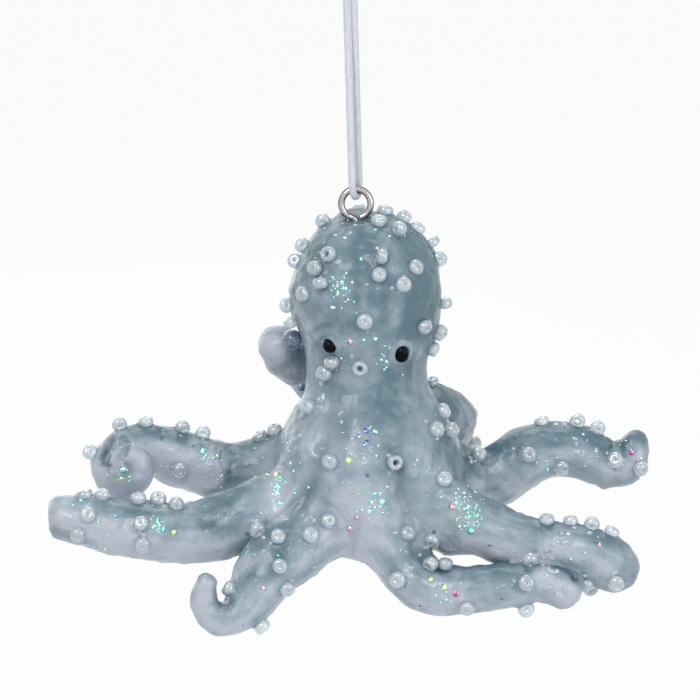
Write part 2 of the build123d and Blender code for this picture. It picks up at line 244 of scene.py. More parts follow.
def put_in_scene(name: str, data: bpy.types.ID) -> bpy.types.Object:
    """A new object that holds the data, in the scene's own collection."""
    piece = bpy.data.objects.new(name, data)
    bpy.context.scene.collection.objects.link(piece)
    return piece


def make_piece(
    name: str,
    points: Array,
    faces: list[list[int]],
    material: Material,
    replaced: tuple[str, ...] = (),
    attributes: dict[str, Array] | None = None,
    body: Body = Body.FIGURINE,
) -> bpy.types.Object:
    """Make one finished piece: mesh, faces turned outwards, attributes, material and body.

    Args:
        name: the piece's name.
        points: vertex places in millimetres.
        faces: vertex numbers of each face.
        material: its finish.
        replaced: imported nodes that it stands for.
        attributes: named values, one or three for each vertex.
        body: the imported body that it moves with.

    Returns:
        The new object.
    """
    middle = points.mean(0)
    a, b, c, d = (points[[face[i] for face in faces]] - middle for i in (0, 1, 2, -1))
    volume = (np.cross(a, b) * c).sum() + (np.cross(a, c) * d).sum()
    if volume < 0:
        faces = [face[::-1] for face in faces]
    mesh = bpy.data.meshes.new(name)
    mesh.from_pydata((points * MM).tolist(), [], faces)
    mesh.polygons.foreach_set("use_smooth", np.ones(len(faces), bool))
    for key, values in (attributes or {}).items():
        kind, part = ("FLOAT", "value") if values.ndim == 1 else ("FLOAT_VECTOR", "vector")
        layer = mesh.attributes.new(key, kind, "POINT")
        layer.data.foreach_set(part, values.astype(np.float32).ravel())
    mesh.materials.append(material)
    piece = put_in_scene(name, mesh)
    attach(piece, body.value)
    if replaced:
        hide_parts(*replaced)
    log.info("%s: %d faces", name, len(faces))
    return piece


# ---------------- finishes


class ShaderSheet:
    """The node tree of one material, filled a node at a time."""

    def __init__(self, name: str) -> None:
        """Start an empty tree with a Principled shader and an output.

        Args:
            name: the material's name.
        """
        self.material = bpy.data.materials.new(name)
        self.material.use_nodes = True
        self.tree = self.material.node_tree
        self.tree.nodes.clear()
        self.output = self.tree.nodes.new("ShaderNodeOutputMaterial")
        self.shader = self.tree.nodes.new("ShaderNodeBsdfPrincipled")
        self.tree.links.new(self.shader.outputs[0], self.output.inputs[0])

    def add(self, kind: str, settings: dict | None = None, **sockets: object) -> bpy.types.Node:
        """Add a node.

        Args:
            kind: the node's type, without its ShaderNode prefix.
            settings: properties of the node itself.
            sockets: input values or output sockets, by input name with spaces as underscores.

        Returns:
            The new node.
        """
        node = self.tree.nodes.new("ShaderNode" + kind)
        for key, value in (settings or {}).items():
            setattr(node, key, value)
        for key, value in sockets.items():
            self.set(node, key.replace("_", " "), value)
        return node

    def set(self, node: bpy.types.Node, key: str | int, value: object) -> None:
        """Give an input a value, or link an output socket to it.

        Args:
            node: the node that has the input.
            key: the input's name or number.
            value: a number, a colour or an output socket.
        """
        if isinstance(value, Socket):
            self.tree.links.new(value, node.inputs[key])
        else:
            node.inputs[key].default_value = value

    def dress(self, **sockets: object) -> None:
        """Give the shader its values, by input name with spaces as underscores."""
        for key, value in sockets.items():
            self.set(self.shader, key.replace("_", " "), value)

    def math(self, operation: str, a: object, b: object, clamp: bool = False) -> Socket:
        """Work out one sum.

        Args:
            operation: the kind of sum.
            a: a number or a socket.
            b: another.
            clamp: whether it is kept from 0 to 1.

        Returns:
            The result.
        """
        node = self.add("Math", {"operation": operation, "use_clamp": clamp})
        self.set(node, 0, a)
        self.set(node, 1, b)
        return node.outputs[0]

    def plus(self, a: object, b: object, clamp: bool = False) -> Socket:
        """The sum of two numbers or sockets."""
        return self.math("ADD", a, b, clamp)

    def times(self, a: object, b: object, clamp: bool = False) -> Socket:
        """The product of two numbers or sockets."""
        return self.math("MULTIPLY", a, b, clamp)

    def swing(self, values: Socket, gain: float) -> Socket:
        """Values from 0 to 1 as an unevenness about 0: (values - 1/2) gain."""
        return self.times(self.math("SUBTRACT", values, 0.5), gain)

    def blend(self, factor: object, a: object, b: object) -> Socket:
        """Mix two colours.

        Args:
            factor: 0 for the first to 1 for the second.
            a: the first.
            b: the second.

        Returns:
            The mixed colour.
        """
        node = self.add("Mix", {"data_type": "RGBA"})
        self.set(node, 0, factor)
        self.set(node, 6, a)
        self.set(node, 7, b)
        return node.outputs[2]

    def ramp(self, value: Socket, low: float, high: float) -> Socket:
        """A smooth rise from 0 at low to 1 at high."""
        node = self.add("MapRange", {"interpolation_type": "SMOOTHSTEP"}, Value=value, From_Min=low, From_Max=high)
        return node.outputs[0]

    def attribute(self, name: str, output: str = "Fac") -> Socket:
        """A named value of the mesh."""
        return self.add("Attribute", {"attribute_name": name}).outputs[output]

    def place(self) -> Socket:
        """Where the surface lies in the piece's own coordinates, in metres."""
        return self.add("TexCoord").outputs["Object"]

    def noise(self, vector: Socket, scale: float, detail: float = 3.0, rough: float = 0.55) -> Socket:
        """The value, about 0.5, of a noise with so many grains to a unit of the coordinates."""
        return self.add("TexNoise", None, Vector=vector, Scale=scale, Detail=detail, Roughness=rough).outputs["Fac"]

    def scaled(self, vector: Socket, scale: tuple[float, float, float]) -> Socket:
        """Coordinates stretched by a factor on each axis."""
        return self.add("Mapping", None, Vector=vector, Scale=scale).outputs[0]

    def bump(self, height: Socket, strength: float, distance_m: float) -> None:
        """Use a height field as the shader's fine relief."""
        node = self.add("Bump", None, Height=height, Strength=strength, Distance=distance_m)
        self.dress(Normal=node.outputs[0])


def rgb(red: float, green: float, blue: float) -> tuple[float, float, float, float]:
    """A display colour from 0 to 255, as the linear colour that a shader takes, by the sRGB curve.

    Args:
        red: its red part.
        green: its green part.
        blue: its blue part.

    Returns:
        The linear colour, with an alpha of 1.
    """
    shares = np.array([red, green, blue]) / 255
    linear = np.where(shares <= 0.04045, shares / 12.92, ((shares + 0.055) / 1.055) ** 2.4)
    return (*linear.tolist(), 1.0)


@dataclass(frozen=True)
class PaintedClay:
    """Pale baked clay with a blue-grey wash that darkens its tops, under satin varnish; its creases darken as pooled
    wash and painted shade.
    """

    pale: tuple = rgb(181, 188, 200)
    cool: tuple = rgb(143, 161, 173)
    wash: tuple = rgb(80, 112, 125)
    deep: tuple = rgb(62, 84, 95)
    blush: tuple = rgb(188, 181, 193)
    varnish: float = 0.42
    gloss: float = 0.42

    def material(self) -> Material:
        """The clay's shader, fed by the wash, crease, streaky and flow values of the mesh.

        The wash covers the clay by the mesh's own value plus brush streaks along the form, clouds and dabs, each a
        noise about 0. Creases darken, as pooled wash and painted shade, where the clouds let them, and dark specks
        lie in patches.

        Returns:
            The finished material.
        """
        sheet = ShaderSheet("painted_clay")
        flow = sheet.attribute("flow", "Vector")
        place = sheet.place()
        streaks = sheet.noise(sheet.scaled(flow, (1.0, 1.0, 0.3)), 0.5)
        clouds = sheet.noise(place, 150.0, 4.0, 0.6)
        dabs = sheet.noise(place, 420.0, 3.0, 0.6)
        fine = sheet.noise(sheet.scaled(flow, (1.0, 1.0, 0.35)), 3.2, 3.0, 0.6)
        brushed = sheet.plus(sheet.swing(streaks, 1.3), sheet.swing(fine, 0.16))
        worn = sheet.plus(sheet.times(brushed, sheet.attribute("streaky")), sheet.swing(clouds, 1.0))
        coverage = sheet.plus(sheet.attribute("wash"), sheet.plus(worn, sheet.swing(dabs, 0.7)))
        base = sheet.blend(sheet.ramp(sheet.noise(place, 90.0, 2.0), 0.6, 0.8), self.pale, self.blush)
        colour = sheet.blend(sheet.ramp(coverage, 0.0, 0.55), base, self.cool)
        colour = sheet.blend(sheet.ramp(coverage, 0.4, 1.15), colour, self.wash)
        # The crease value darkens towards the deep colour: painted shade in creases and seams, with pooled wash
        crease = sheet.times(sheet.attribute("crease"), sheet.ramp(clouds, 0.25, 0.6))
        colour = sheet.blend(sheet.times(crease, 0.85, True), colour, self.deep)
        cells = sheet.add("TexVoronoi", None, Vector=place, Scale=420.0).outputs["Distance"]
        patches = sheet.ramp(sheet.noise(place, 240.0, 2.0), 0.55, 0.62)
        specks = sheet.times(sheet.math("LESS_THAN", cells, 0.13), patches)
        sheet.dress(
            Base_Color=sheet.blend(sheet.times(specks, 0.75), colour, self.deep),
            Roughness=sheet.plus(self.gloss, sheet.swing(fine, 0.25)),
            Coat_Weight=self.varnish, Coat_Roughness=0.14,
            Subsurface_Weight=0.18, Subsurface_Radius=(1.0, 0.9, 0.85), Subsurface_Scale=0.0011,
        )
        sheet.bump(sheet.plus(sheet.times(dabs, 1.1), sheet.noise(place, 1500.0, 2.0)), 0.7, 0.0002)
        return sheet.material


@dataclass(frozen=True)
class PearlGlass:
    """Milky seed-bead glass with a pearl coat, partly clear."""

    body: tuple = rgb(222, 234, 241)
    shade: tuple = rgb(190, 207, 217)
    clearness: float = 0.46
    coat_index: float = 1.95

    def material(self) -> Material:
        """The bead's shader; the tint value differs from bead to bead.

        Returns:
            The finished material.
        """
        sheet = ShaderSheet("pearl_glass")
        place = sheet.place()
        tint = sheet.plus(sheet.attribute("tint"), sheet.swing(sheet.noise(place, 900.0, 2.0), 0.7))
        sheet.dress(
            Base_Color=sheet.blend(sheet.plus(tint, 0.0, True), self.body, self.shade), Roughness=0.12, IOR=1.5,
            Transmission_Weight=self.clearness, Coat_Weight=1.0, Coat_IOR=self.coat_index, Coat_Roughness=0.05,
        )
        sheet.bump(sheet.noise(place, 1300.0, 2.0), 0.5, 0.00008)
        return sheet.material


@dataclass(frozen=True)
class BlueGlass:
    """Smoky blue glass, clouded inside."""

    clear: tuple = rgb(146, 162, 190)
    smoke: tuple = rgb(84, 101, 132)

    def material(self) -> Material:
        """The blue beads' shader.

        Returns:
            The finished material.
        """
        sheet = ShaderSheet("blue_glass")
        cloud = sheet.ramp(sheet.noise(sheet.place(), 900.0, 3.0), 0.4, 0.62)
        sheet.dress(
            Base_Color=sheet.blend(cloud, self.clear, self.smoke), Roughness=0.08, Transmission_Weight=0.25,
            Coat_Weight=0.8, Coat_Roughness=0.03,
        )
        return sheet.material


@dataclass(frozen=True)
class BlackBead:
    """Polished black glass, with faint blue patches painted into its colour as a blue sheen."""

    black: tuple = rgb(3, 3, 5)
    blue: tuple = rgb(8, 20, 34)

    def material(self) -> Material:
        """The eye bead's shader.

        Returns:
            The finished material.
        """
        sheet = ShaderSheet("black_bead")
        place = sheet.place()
        # Dark blue patches in the colour stand in for blue glints: a painted sheen
        cloud = sheet.ramp(sheet.noise(place, 700.0, 2.0), 0.45, 0.7)
        sheet.dress(
            Base_Color=sheet.blend(cloud, self.black, self.blue), Roughness=0.07, IOR=1.3, Specular_IOR_Level=0.2
        )
        sheet.bump(sheet.noise(place, 1200.0, 1.0), 0.15, 0.00003)
        return sheet.material


@dataclass(frozen=True)
class NickelPlate:
    """Nickel-plated steel wire: a little brown, with drawn lines and small dull spots, and darker along its two sides
    as a painted reflection.
    """

    bright: tuple = rgb(188, 184, 181)
    dull: tuple = rgb(44, 40, 38)

    def marks_and_painted_dark_sides(self, sheet: ShaderSheet, drawn: Socket, spots: Socket) -> Socket:
        """Where the plate is dull: along some of the drawn lines and in spots, and on the wire's two sides, where the
        darkening is a painted reflection.

        Args:
            sheet: the plate's node tree.
            drawn: the noise of the drawn lines.
            spots: the noise of the spots.

        Returns:
            0 where it is bright to 1 where it is dull.
        """
        face = sheet.add("SeparateXYZ", None, Vector=sheet.attribute("flow", "Vector")).outputs[0]
        # The wire's two sides darken as a painted reflection
        sides = sheet.math("SUBTRACT", 1.0, sheet.times(face, face))
        marks = sheet.plus(sheet.times(drawn, 0.7), sheet.times(spots, 0.3))
        return sheet.ramp(sheet.plus(marks, sheet.times(sides, 0.42)), 0.5, 0.98)

    def material(self) -> Material:
        """The wire's shader; its drawn lines follow the wire's own length.

        Returns:
            The finished material.
        """
        sheet = ShaderSheet("nickel_plate")
        drawn = sheet.noise(sheet.scaled(sheet.attribute("flow", "Vector"), (6.0, 6.0, 0.25)), 2.0, 3.0, 0.65)
        spots = sheet.noise(sheet.place(), 1600.0, 3.0)
        sheet.dress(
            Base_Color=sheet.blend(self.marks_and_painted_dark_sides(sheet, drawn, spots), self.bright, self.dull), Metallic=1.0,
            Roughness=sheet.plus(0.08, sheet.times(drawn, 0.2)),
        )
        sheet.bump(drawn, 0.25, 0.00004)
        return sheet.material


@dataclass(frozen=True)
class SatinThread:
    """Smooth white rayon thread: long fibres with a soft sheen and a slight twist."""

    shadow: tuple = rgb(196, 202, 211)
    light: tuple = rgb(222, 226, 232)

    def material(self) -> Material:
        """The thread's shader, streaked along its length, which is upright.

        Returns:
            The finished material.
        """
        sheet = ShaderSheet("satin_thread")
        fibres = sheet.noise(sheet.scaled(sheet.place(), (1.0, 1.0, 0.06)), 9000.0, 3.0, 0.6)
        sheet.dress(
            Base_Color=sheet.blend(sheet.ramp(fibres, 0.3, 0.7), self.shadow, self.light), Roughness=0.42,
            Sheen_Weight=0.5, Sheen_Roughness=0.35, Subsurface_Weight=0.2, Subsurface_Scale=0.0005,
        )
        sheet.bump(fibres, 0.4, 0.00006)
        return sheet.material


@dataclass(frozen=True)
class FoilFlake:
    """Iridescent foil: each flake has its own colour and mirrors what is round it."""

    glance: tuple = rgb(235, 255, 250)

    def material(self) -> Material:
        """The flakes' shader, coloured by each flake's own foil value.

        Returns:
            The finished material.
        """
        sheet = ShaderSheet("foil_flake")
        colour = sheet.attribute("foil", "Vector")
        shimmer = sheet.noise(sheet.place(), 2600.0, 1.0)
        sheet.dress(
            Base_Color=sheet.blend(sheet.ramp(shimmer, 0.4, 0.8), colour, self.glance), Metallic=0.65, Roughness=0.16
        )
        sheet.bump(shimmer, 0.1, 0.00002)
        return sheet.material


# ---------------- clay

CAP_DEGREES = (18, 36, 54, 70, 82, 90)
POINTS_AT_ONCE = 20000
FAR = 99.0


@dataclass
class ClayForm:
    """A lump rolled from clay: a smooth spine, a girth along it, and rounded ends."""

    node: str
    start: Array
    reach: float
    girth: float
    shares: tuple
    blunt: float
    hand: int
    depth_share: float = 1.0
    crown_rise: float | None = None
    square_tip: float = 1.0
    paint: float = 1.0
    grid: float = 0.3
    spine_samples: int = 140
    least_bend: float = 0.9
    bend_rings: int = 11

    def __post_init__(self) -> None:
        """Fit the spine through its points, and the outline through its stations and radii."""
        table = np.array(self.shares)
        points = self.start + table[:, :3] * self.reach
        lengths = np.r_[0, np.cumsum(np.linalg.norm(np.diff(points, axis=0), axis=1))]
        self.length = lengths[-1]
        self.spine = SmoothCurve(lengths, points)
        radii = self.girth / 2 * table[:, 3]
        turns = np.radians(CAP_DEGREES)
        cap_along = self.length + radii[-1] * self.blunt * np.sin(turns)
        cap_radii = radii[-1] * np.cos(turns) ** self.square_tip
        outline = np.c_[np.r_[lengths, cap_along], np.r_[radii, cap_radii]]
        if self.crown_rise is not None:
            outline = np.vstack([[-self.crown_rise, 0.0], outline])
        self.outline_length = np.r_[0, np.cumsum(np.linalg.norm(np.diff(outline, axis=0), axis=1))]
        self.outline = SmoothCurve(self.outline_length, outline)
        samples = np.linspace(0, self.length, self.spine_samples)
        self.centres = self.spine.at(samples)[0]
        self.centre_radii = np.interp(samples, lengths, radii)

    def axes(self, along_mm: Array) -> tuple[Array, Array, Array]:
        """The spine and the two directions across it, of which the first leans to the viewer as far as it can.

        Args:
            along_mm: lengths along the spine.

        Returns:
            The spine's points, the viewer's side and the upper side, a row for each length.
        """
        points, slopes = self.spine.at(along_mm)
        along = unit(slopes)
        front = unit(TOWARD_VIEWER - along * (along @ TOWARD_VIEWER)[:, None])
        return points, front, np.cross(along, front) * self.hand

    def inner_share(self, along_mm: Array, radii: Array, out: Array) -> Array:
        """The share of its radius that each point keeps on the inner side of a bend.

        With b the radius times the bend's curvature towards the point, the share is (1 + (b/0.9)^6)^(-1/6), so that
        the inner side stops short of the bend's own centre and doesn't fold. The curvature is the mean over some
        neighbouring rings.

        Args:
            along_mm: each ring's place along the spine.
            radii: each ring's radius.
            out: the outward directions, a row for each ring.

        Returns:
            A share for each point.
        """
        if self.crown_rise is not None:
            return np.ones(out.shape[:2])
        ahead = unit(self.spine.at(along_mm)[1])
        bend = np.gradient(ahead, along_mm, axis=0)
        half = self.bend_rings // 2
        sums = np.cumsum(np.pad(bend, ((half + 1, half), (0, 0)), mode="edge"), axis=0)
        bend = (sums[self.bend_rings:] - sums[:-self.bend_rings]) / self.bend_rings
        inward = np.maximum((out * bend[:, None]).sum(-1), 0) * radii[:, None]
        return (1 + (inward / self.least_bend) ** 6) ** (-1 / 6)

    def surface(self) -> tuple[Array, Array, int, int]:
        """The plain rolled surface.

        A ring for each step of the outline: its middle on the spine, its radius from the outline,
        the angle from the viewer's side towards the upper side. Both ends shrink to one point.

        Returns:
            Points, their places on the unrolled form, and the counts of rings and of points round.
        """
        rows = int(self.outline_length[-1] / self.grid)
        columns = int(np.pi * self.girth / self.grid)
        t = np.linspace(0, self.outline_length[-1], rows + 1)[1:-1]
        along, radii = np.maximum(self.outline.at(t)[0].T, [[-9.0], [0.02]])
        if self.crown_rise is None:
            t, along, radii = np.r_[0, t], np.r_[0, along], np.r_[self.centre_radii[0], radii]
        rows = len(t)
        centres, front, upper = self.axes(along)
        turns = round_angles(columns)
        cos, sin = np.cos(turns)[None, :, None], np.sin(turns)[None, :, None]
        out = front[:, None, :] * cos * self.depth_share + upper[:, None, :] * sin
        kept = radii[:, None] * self.inner_share(along, radii, out)
        points = (centres[:, None, :] + out * kept[..., None]).reshape(-1, 3)
        across = radii[:, None]
        unrolled = [across * cos[..., 0], across * sin[..., 0], np.broadcast_to(along[:, None], (rows, columns))]
        flow = np.stack(unrolled, -1).reshape(-1, 3)
        ends = self.axes(np.array([-(self.crown_rise or 0.0), self.outline.values[-1, 0]]))[0]
        flow_ends = np.array([[0, 0, 0], [0, 0, self.outline.values[-1, 0]]])
        return np.vstack([points, ends]), np.vstack([flow, flow_ends]), rows, columns

    def distance(self, points: Array) -> Array:
        """How far each point lies outside the form: its distance to the nearest spine point, less the radius there.

        Past the last spine point the form is a flattened dome, and the distance is scaled as its height is.

        Args:
            points: the points.

        Returns:
            A distance for each point, below 0 inside.
        """
        stretched = points / [1, self.depth_share, 1]
        centres = self.centres / [1, self.depth_share, 1]
        ahead = unit(centres[-1] - centres[-3])
        value = np.empty(len(points))
        for low in range(0, len(points), POINTS_AT_ONCE):
            part = stretched[low:low + POINTS_AT_ONCE]
            square = (part**2).sum(1)[:, None] + (centres**2).sum(1) - 2 * part @ centres.T
            nearest = square.argmin(1)
            gap = np.sqrt(np.maximum(square[np.arange(len(part)), nearest], 1e-9))
            past = np.where(nearest == len(centres) - 1, np.maximum((part - centres[-1]) @ ahead, 0), 0)
            dome = np.sqrt(np.maximum(gap**2 - past**2, 0) + (past / self.blunt) ** 2)
            value[low:low + POINTS_AT_ONCE] = (dome - self.centre_radii[nearest]) * gap / np.maximum(dome, 1e-6)
        return value


def surface_normals(points: Array, rows: int, columns: int) -> Array:
    """Outward directions on a ring-by-ring grid: the cross product of the steps round it and along it.

    Args:
        points: the grid's points, then its two end points.
        rows: the count of rings.
        columns: points round each ring.

    Returns:
        A direction for each point; an end point's is the mean of the ring beside it.
    """
    grid = points[: rows * columns].reshape(rows, columns, 3)
    round_step = np.roll(grid, -1, 1) - np.roll(grid, 1, 1)
    along_step = np.gradient(grid, axis=0)
    normal = unit(np.cross(round_step, along_step))
    middle = grid.mean(1, keepdims=True)
    turned = np.sign(((grid - middle) * normal).sum())
    normal = normal * (turned if turned else 1.0)
    ends = unit(np.array([normal[0].mean(0), normal[-1].mean(0)]))
    return np.vstack([normal.reshape(-1, 3), ends])


@dataclass(frozen=True)
class View:
    """The camera: where it stands, and where its picture shows each point."""

    elevation: float = 10.0
    distance: float = 550.0
    picture_width: float = 98.0
    pixels: int = 700
    target: tuple = (0.06, -3.91, -51.70)

    @property
    def toward(self) -> Array:
        """The direction from the ornament to the camera."""
        tilt = math.radians(self.elevation)
        return np.array([0.0, -math.cos(tilt), math.sin(tilt)])

    @property
    def upward(self) -> Array:
        """The direction that the picture shows as straight up."""
        tilt = math.radians(self.elevation)
        return np.array([0.0, math.sin(tilt), math.cos(tilt)])

    def project(self, points: Array) -> tuple[Array, Array, Array]:
        """Where the picture shows each point, by a central projection.

        Args:
            points: the points.

        Returns:
            Their columns, their rows and their depths from the camera.
        """
        offset = points - np.array(self.target)
        depth = self.distance - offset @ self.toward
        scale = self.pixels / self.picture_width * self.distance / depth
        middle = self.pixels / 2
        return middle + offset[:, 0] * scale, middle - (offset @ self.upward) * scale, depth


@dataclass(frozen=True)
class Stroke:
    """A mark on the side that faces the viewer, along a line drawn on the picture."""

    line: tuple[tuple[float, float], ...]
    width: float
    relief: float = 0.0
    wash: float = 0.0
    crease: float = 0.0
    pieces: tuple[str, ...] = ()

    def strength(self, node: str, columns: Array, rows: Array, facing: Array, pixel: float) -> Array:
        """How strongly the mark falls on each point: a bell over its width, less where the clay turns away.

        Args:
            node: the clay piece that the points belong to.
            columns: the points' columns in the picture.
            rows: the points' rows in the picture.
            facing: how squarely the clay faces the viewer there.
            pixel: millimetres to a pixel.

        Returns:
            A share from 0 to 1 for each point.
        """
        share = np.zeros(len(columns))
        if self.pieces and node not in self.pieces:
            return share
        corners = np.array(self.line, float)
        reach = 2.6 * self.width / pixel
        low, high = corners.min(0) - reach, corners.max(0) + reach
        near = (columns > low[0]) & (columns < high[0]) & (rows > low[1]) & (rows < high[1]) & (facing > 0)
        flat = np.stack([columns[near], rows[near]], -1)
        nearest = np.full(len(flat), np.inf)
        for start, end in zip(corners, corners[1:] if len(corners) > 1 else corners):
            run = end - start
            part = np.clip((flat - start) @ run / max(run @ run, 1e-9), 0, 1)
            nearest = np.minimum(nearest, np.linalg.norm(flat - start - part[:, None] * run, axis=1))
        share[near] = np.exp(-((nearest * pixel / self.width) ** 2)) * smooth_step(0.0, 0.45, facing[near])
        return share


@dataclass(frozen=True)
class Press:
    """A rise or hollow pressed into one clay piece round a point: a bell over its reach, in every direction."""

    node: str
    place: tuple[float, float, float]
    reach: float
    relief: float

    def at(self, points: Array) -> Array:
        """Its height at each point."""
        return self.relief * np.exp(-((points - np.array(self.place)) ** 2).sum(1) / self.reach**2)


@dataclass
class ClaySkin:
    """One clay piece's surface as it is worked: its points, what lies next to them, and what dresses them."""

    form: ClayForm
    points: Array
    normals: Array
    flow: Array
    rows: int
    columns: int
    body_gap: Array
    arm_gap: Array
    wash: Array
    crease: Array

    @property
    def shown(self) -> Array:
        """Which points lie on the figure's outer surface, and not inside another piece."""
        return (self.body_gap > 0.0) & ((self.arm_gap > 0.0) | (self.form.crown_rise is not None))

    @property
    def streaky(self) -> Array:
        """How much the brush's streaks show: they fade out towards the seams."""
        return smooth_step(0.0, 4.0, np.minimum(self.body_gap, self.arm_gap))

    def turn_normals(self) -> None:
        """Work the outward directions out again after the points have moved."""
        self.normals = surface_normals(self.points, self.rows, self.columns)

    def move(self, relief: Array, margin: float = 0.15) -> None:
        """Raise or sink the surface, and keep it inside the solids' box.

        Args:
            relief: how far each point moves outwards.
            margin: how far it stays inside the box, for the flakes that lie on it.
        """
        low, high = solids_box()
        self.points = np.clip(self.points + self.normals * relief[:, None], low + margin, high - margin)
        self.turn_normals()


@dataclass
class ClayFigure:
    """The head, body and eight arms: separate lumps, smoothed together where they meet."""

    forms: list[ClayForm]
    strokes: tuple[Stroke, ...]
    presses: tuple[Press, ...]
    view: View
    chest: tuple = (2.9, -2.0, -68.0)
    chest_reach: float = 14.0
    chest_softness: float = 1.6
    plain_softness: float = 0.45
    most_swell: float = 2.6
    swell_reach: float = 9.0
    rounds: int = 12
    seam_depth: float = 0.12
    seam_width: float = 0.4
    seam_wash_and_shade: float = 0.3
    crease_width: float = 0.8
    body_seam: float = 1.5
    # The lumps, the grain and the pores: seed, wavelength and height
    ripples: tuple = ((4, 8.0, 0.24), (9, 2.4, 0.085), (14, 1.2, 0.028))
    arm_wash: float = 0.36
    arm_top_wash: float = 0.78
    hollow_wash_and_shade: float = 0.2
    hollow_reach: float = 3.0
    body_wash: float = 0.4
    head_wash: float = 0.46
    body_top_wash: float = 0.15
    head_rise: tuple = (-70.0, -46.0)
    wash_seam: float = 6.0
    collar_height: float = 0.24
    pool_wash_and_shade: float = 0.18
    neighbours: int = 24
    pick_pixels: float = 3.0
    pick_depth: float = 2.0
    skins: dict[str, ClaySkin] = field(default_factory=dict)

    def softness(self, points: Array) -> Array:
        """How softly the lumps run together at each point: most at the chest, in a bell, least along the arms."""
        square = ((points - np.array(self.chest)) ** 2).sum(1)
        return self.plain_softness + self.chest_softness * np.exp(-square / self.chest_reach**2)

    def join(self, form: ClayForm) -> ClaySkin:
        """Swell one piece towards its neighbours.

        Each point moves out by k log(1 + the sum over the neighbours of exp(-t/k)), where t is how much further the
        point lies from the neighbour than from its own form, and k the softness there. All pieces then reach the
        same smooth surface along their seams, however many meet.

        Args:
            form: the piece's plain form.

        Returns:
            Its joined surface.
        """
        base, flow, rows, columns = form.surface()
        normals = surface_normals(base, rows, columns)
        others = [other for other in self.forms if other is not form]
        near = {other.node: other.distance(base) < self.swell_reach for other in others}
        offset = np.zeros(len(base))
        for _ in range(self.rounds):
            moved = base + normals * offset[:, None]
            soft = self.softness(moved)
            pull = np.zeros(len(base))
            for other in others:
                at = near[other.node]
                if at.any():
                    gap = np.maximum(other.distance(moved[at]) - offset[at], 0)
                    pull[at] += np.exp(-gap / soft[at])
            offset = (offset + np.minimum(soft * np.log1p(pull), self.most_swell)) / 2
        points = base + normals * offset[:, None]
        gaps = np.full((len(others), len(base)), FAR)
        for row, other in enumerate(others):
            at = near[other.node]
            if at.any():
                gaps[row, at] = other.distance(points[at]) - offset[at]
        trunk = np.array([other.crown_rise is not None for other in others])
        if form.crown_rise is None:
            body_gap, arm_gap = gaps[trunk][0], gaps[~trunk].min(0)
        else:
            nearest = np.sort(gaps, axis=0)
            body_gap, arm_gap = nearest[0], nearest[1] - nearest[0]
        flat = np.zeros(len(base))
        skin = ClaySkin(form, points, normals, flow, rows, columns, body_gap, arm_gap, flat, flat)
        skin.turn_normals()
        return skin

    def work(self, skin: ClaySkin, ripples: list[tuple[Ripple, float]]) -> None:
        """Give one piece its hand-made unevenness, seams and marks, and its paint, with painted shade in its seams.

        A seam is a bell over its width, in relief and in crease alike.

        Args:
            skin: the joined surface.
            ripples: the unevenness, slow to fine, each with its height.
        """
        columns, rows, _ = self.view.project(skin.points)
        facing = skin.normals @ self.view.toward
        pixel = self.view.picture_width / self.view.pixels
        arm_gap = np.maximum(skin.arm_gap, 0)
        relief = sum(ripple.at(skin.points) * height for ripple, height in ripples)
        on_body = skin.form.crown_rise is not None
        beside = np.exp(-((skin.body_gap / self.body_seam) ** 2)) if on_body else np.ones(len(relief))
        # Painted shade, with pooled wash, darkens the seams between arms
        crease = self.seam_wash_and_shade * np.exp(-((arm_gap / self.crease_width) ** 2)) * beside
        relief -= self.seam_depth * np.exp(-((arm_gap / self.seam_width) ** 2)) * beside
        wash = self.wash(skin)
        for stroke in self.strokes:
            share = stroke.strength(skin.form.node, columns, rows, facing, pixel)
            relief += stroke.relief * share
            crease += stroke.crease * share
            wash += stroke.wash * share
        for press in self.presses:
            if press.node == skin.form.node:
                relief += press.at(skin.points)
        skin.move(relief)
        skin.wash, skin.crease = wash, crease

    def wash(self, skin: ClaySkin) -> Array:
        """How strongly the blue-grey wash lies.

        The head and body have one rule, more towards the crown; the arms another, more on top, and in the hollows
        between arms, where it adds painted shade to pooled wash.
        Across a seam between them one rule fades into the other.

        Args:
            skin: the joined surface.

        Returns:
            A strength for each point, from about 0.3 to 1.2.
        """
        up = smooth_step(-0.1, 1.0, skin.normals[:, 2])
        # The hollow term darkens near the seams between arms: pooled wash and painted shade
        hollow = np.exp(-((np.maximum(skin.arm_gap, 0) / self.hollow_reach) ** 2))
        arm = self.arm_wash + self.arm_top_wash * skin.form.paint * up + self.hollow_wash_and_shade * hollow
        raised = smooth_step(*self.head_rise, skin.points[:, 2])
        body = self.body_wash + self.head_wash * raised + self.body_top_wash * up
        own = 0.5 + 0.5 * smooth_step(0.0, self.wash_seam, np.maximum(skin.body_gap, 0))
        share = own if skin.form.crown_rise is not None else 1 - own
        return arm + (body - arm) * share

    def shape(self) -> None:
        """Work out every piece's surface."""
        ripples = [(Ripple(seed, wavelength), height) for seed, wavelength, height in self.ripples]
        for form in self.forms:
            self.skins[form.node] = self.join(form)
        for skin in self.skins.values():
            self.work(skin, ripples)

    def bed(self, seats: Array, reach: float, seed: int) -> None:
        """Press things into the clay: a low collar rises round each, a bell about its edge, and the clay darkens in
        it, as pooled wash and painted shade.

        Args:
            seats: where they touch the clay.
            reach: the radius of the thing.
            seed: what the unevenness from seat to seat is drawn from.
        """
        pools = np.random.default_rng(seed).uniform(0.25, 1.0, len(seats))
        for skin in self.skins.values():
            relief = np.zeros(len(skin.points))
            for seat, pool in zip(seats, pools):
                close = np.flatnonzero((np.abs(skin.points - seat) < reach * 3).all(1))
                away = np.linalg.norm(skin.points[close] - seat, axis=1) / reach
                relief[close] += self.collar_height * pool * np.exp(-(((away - 1.02) / 0.34) ** 2))
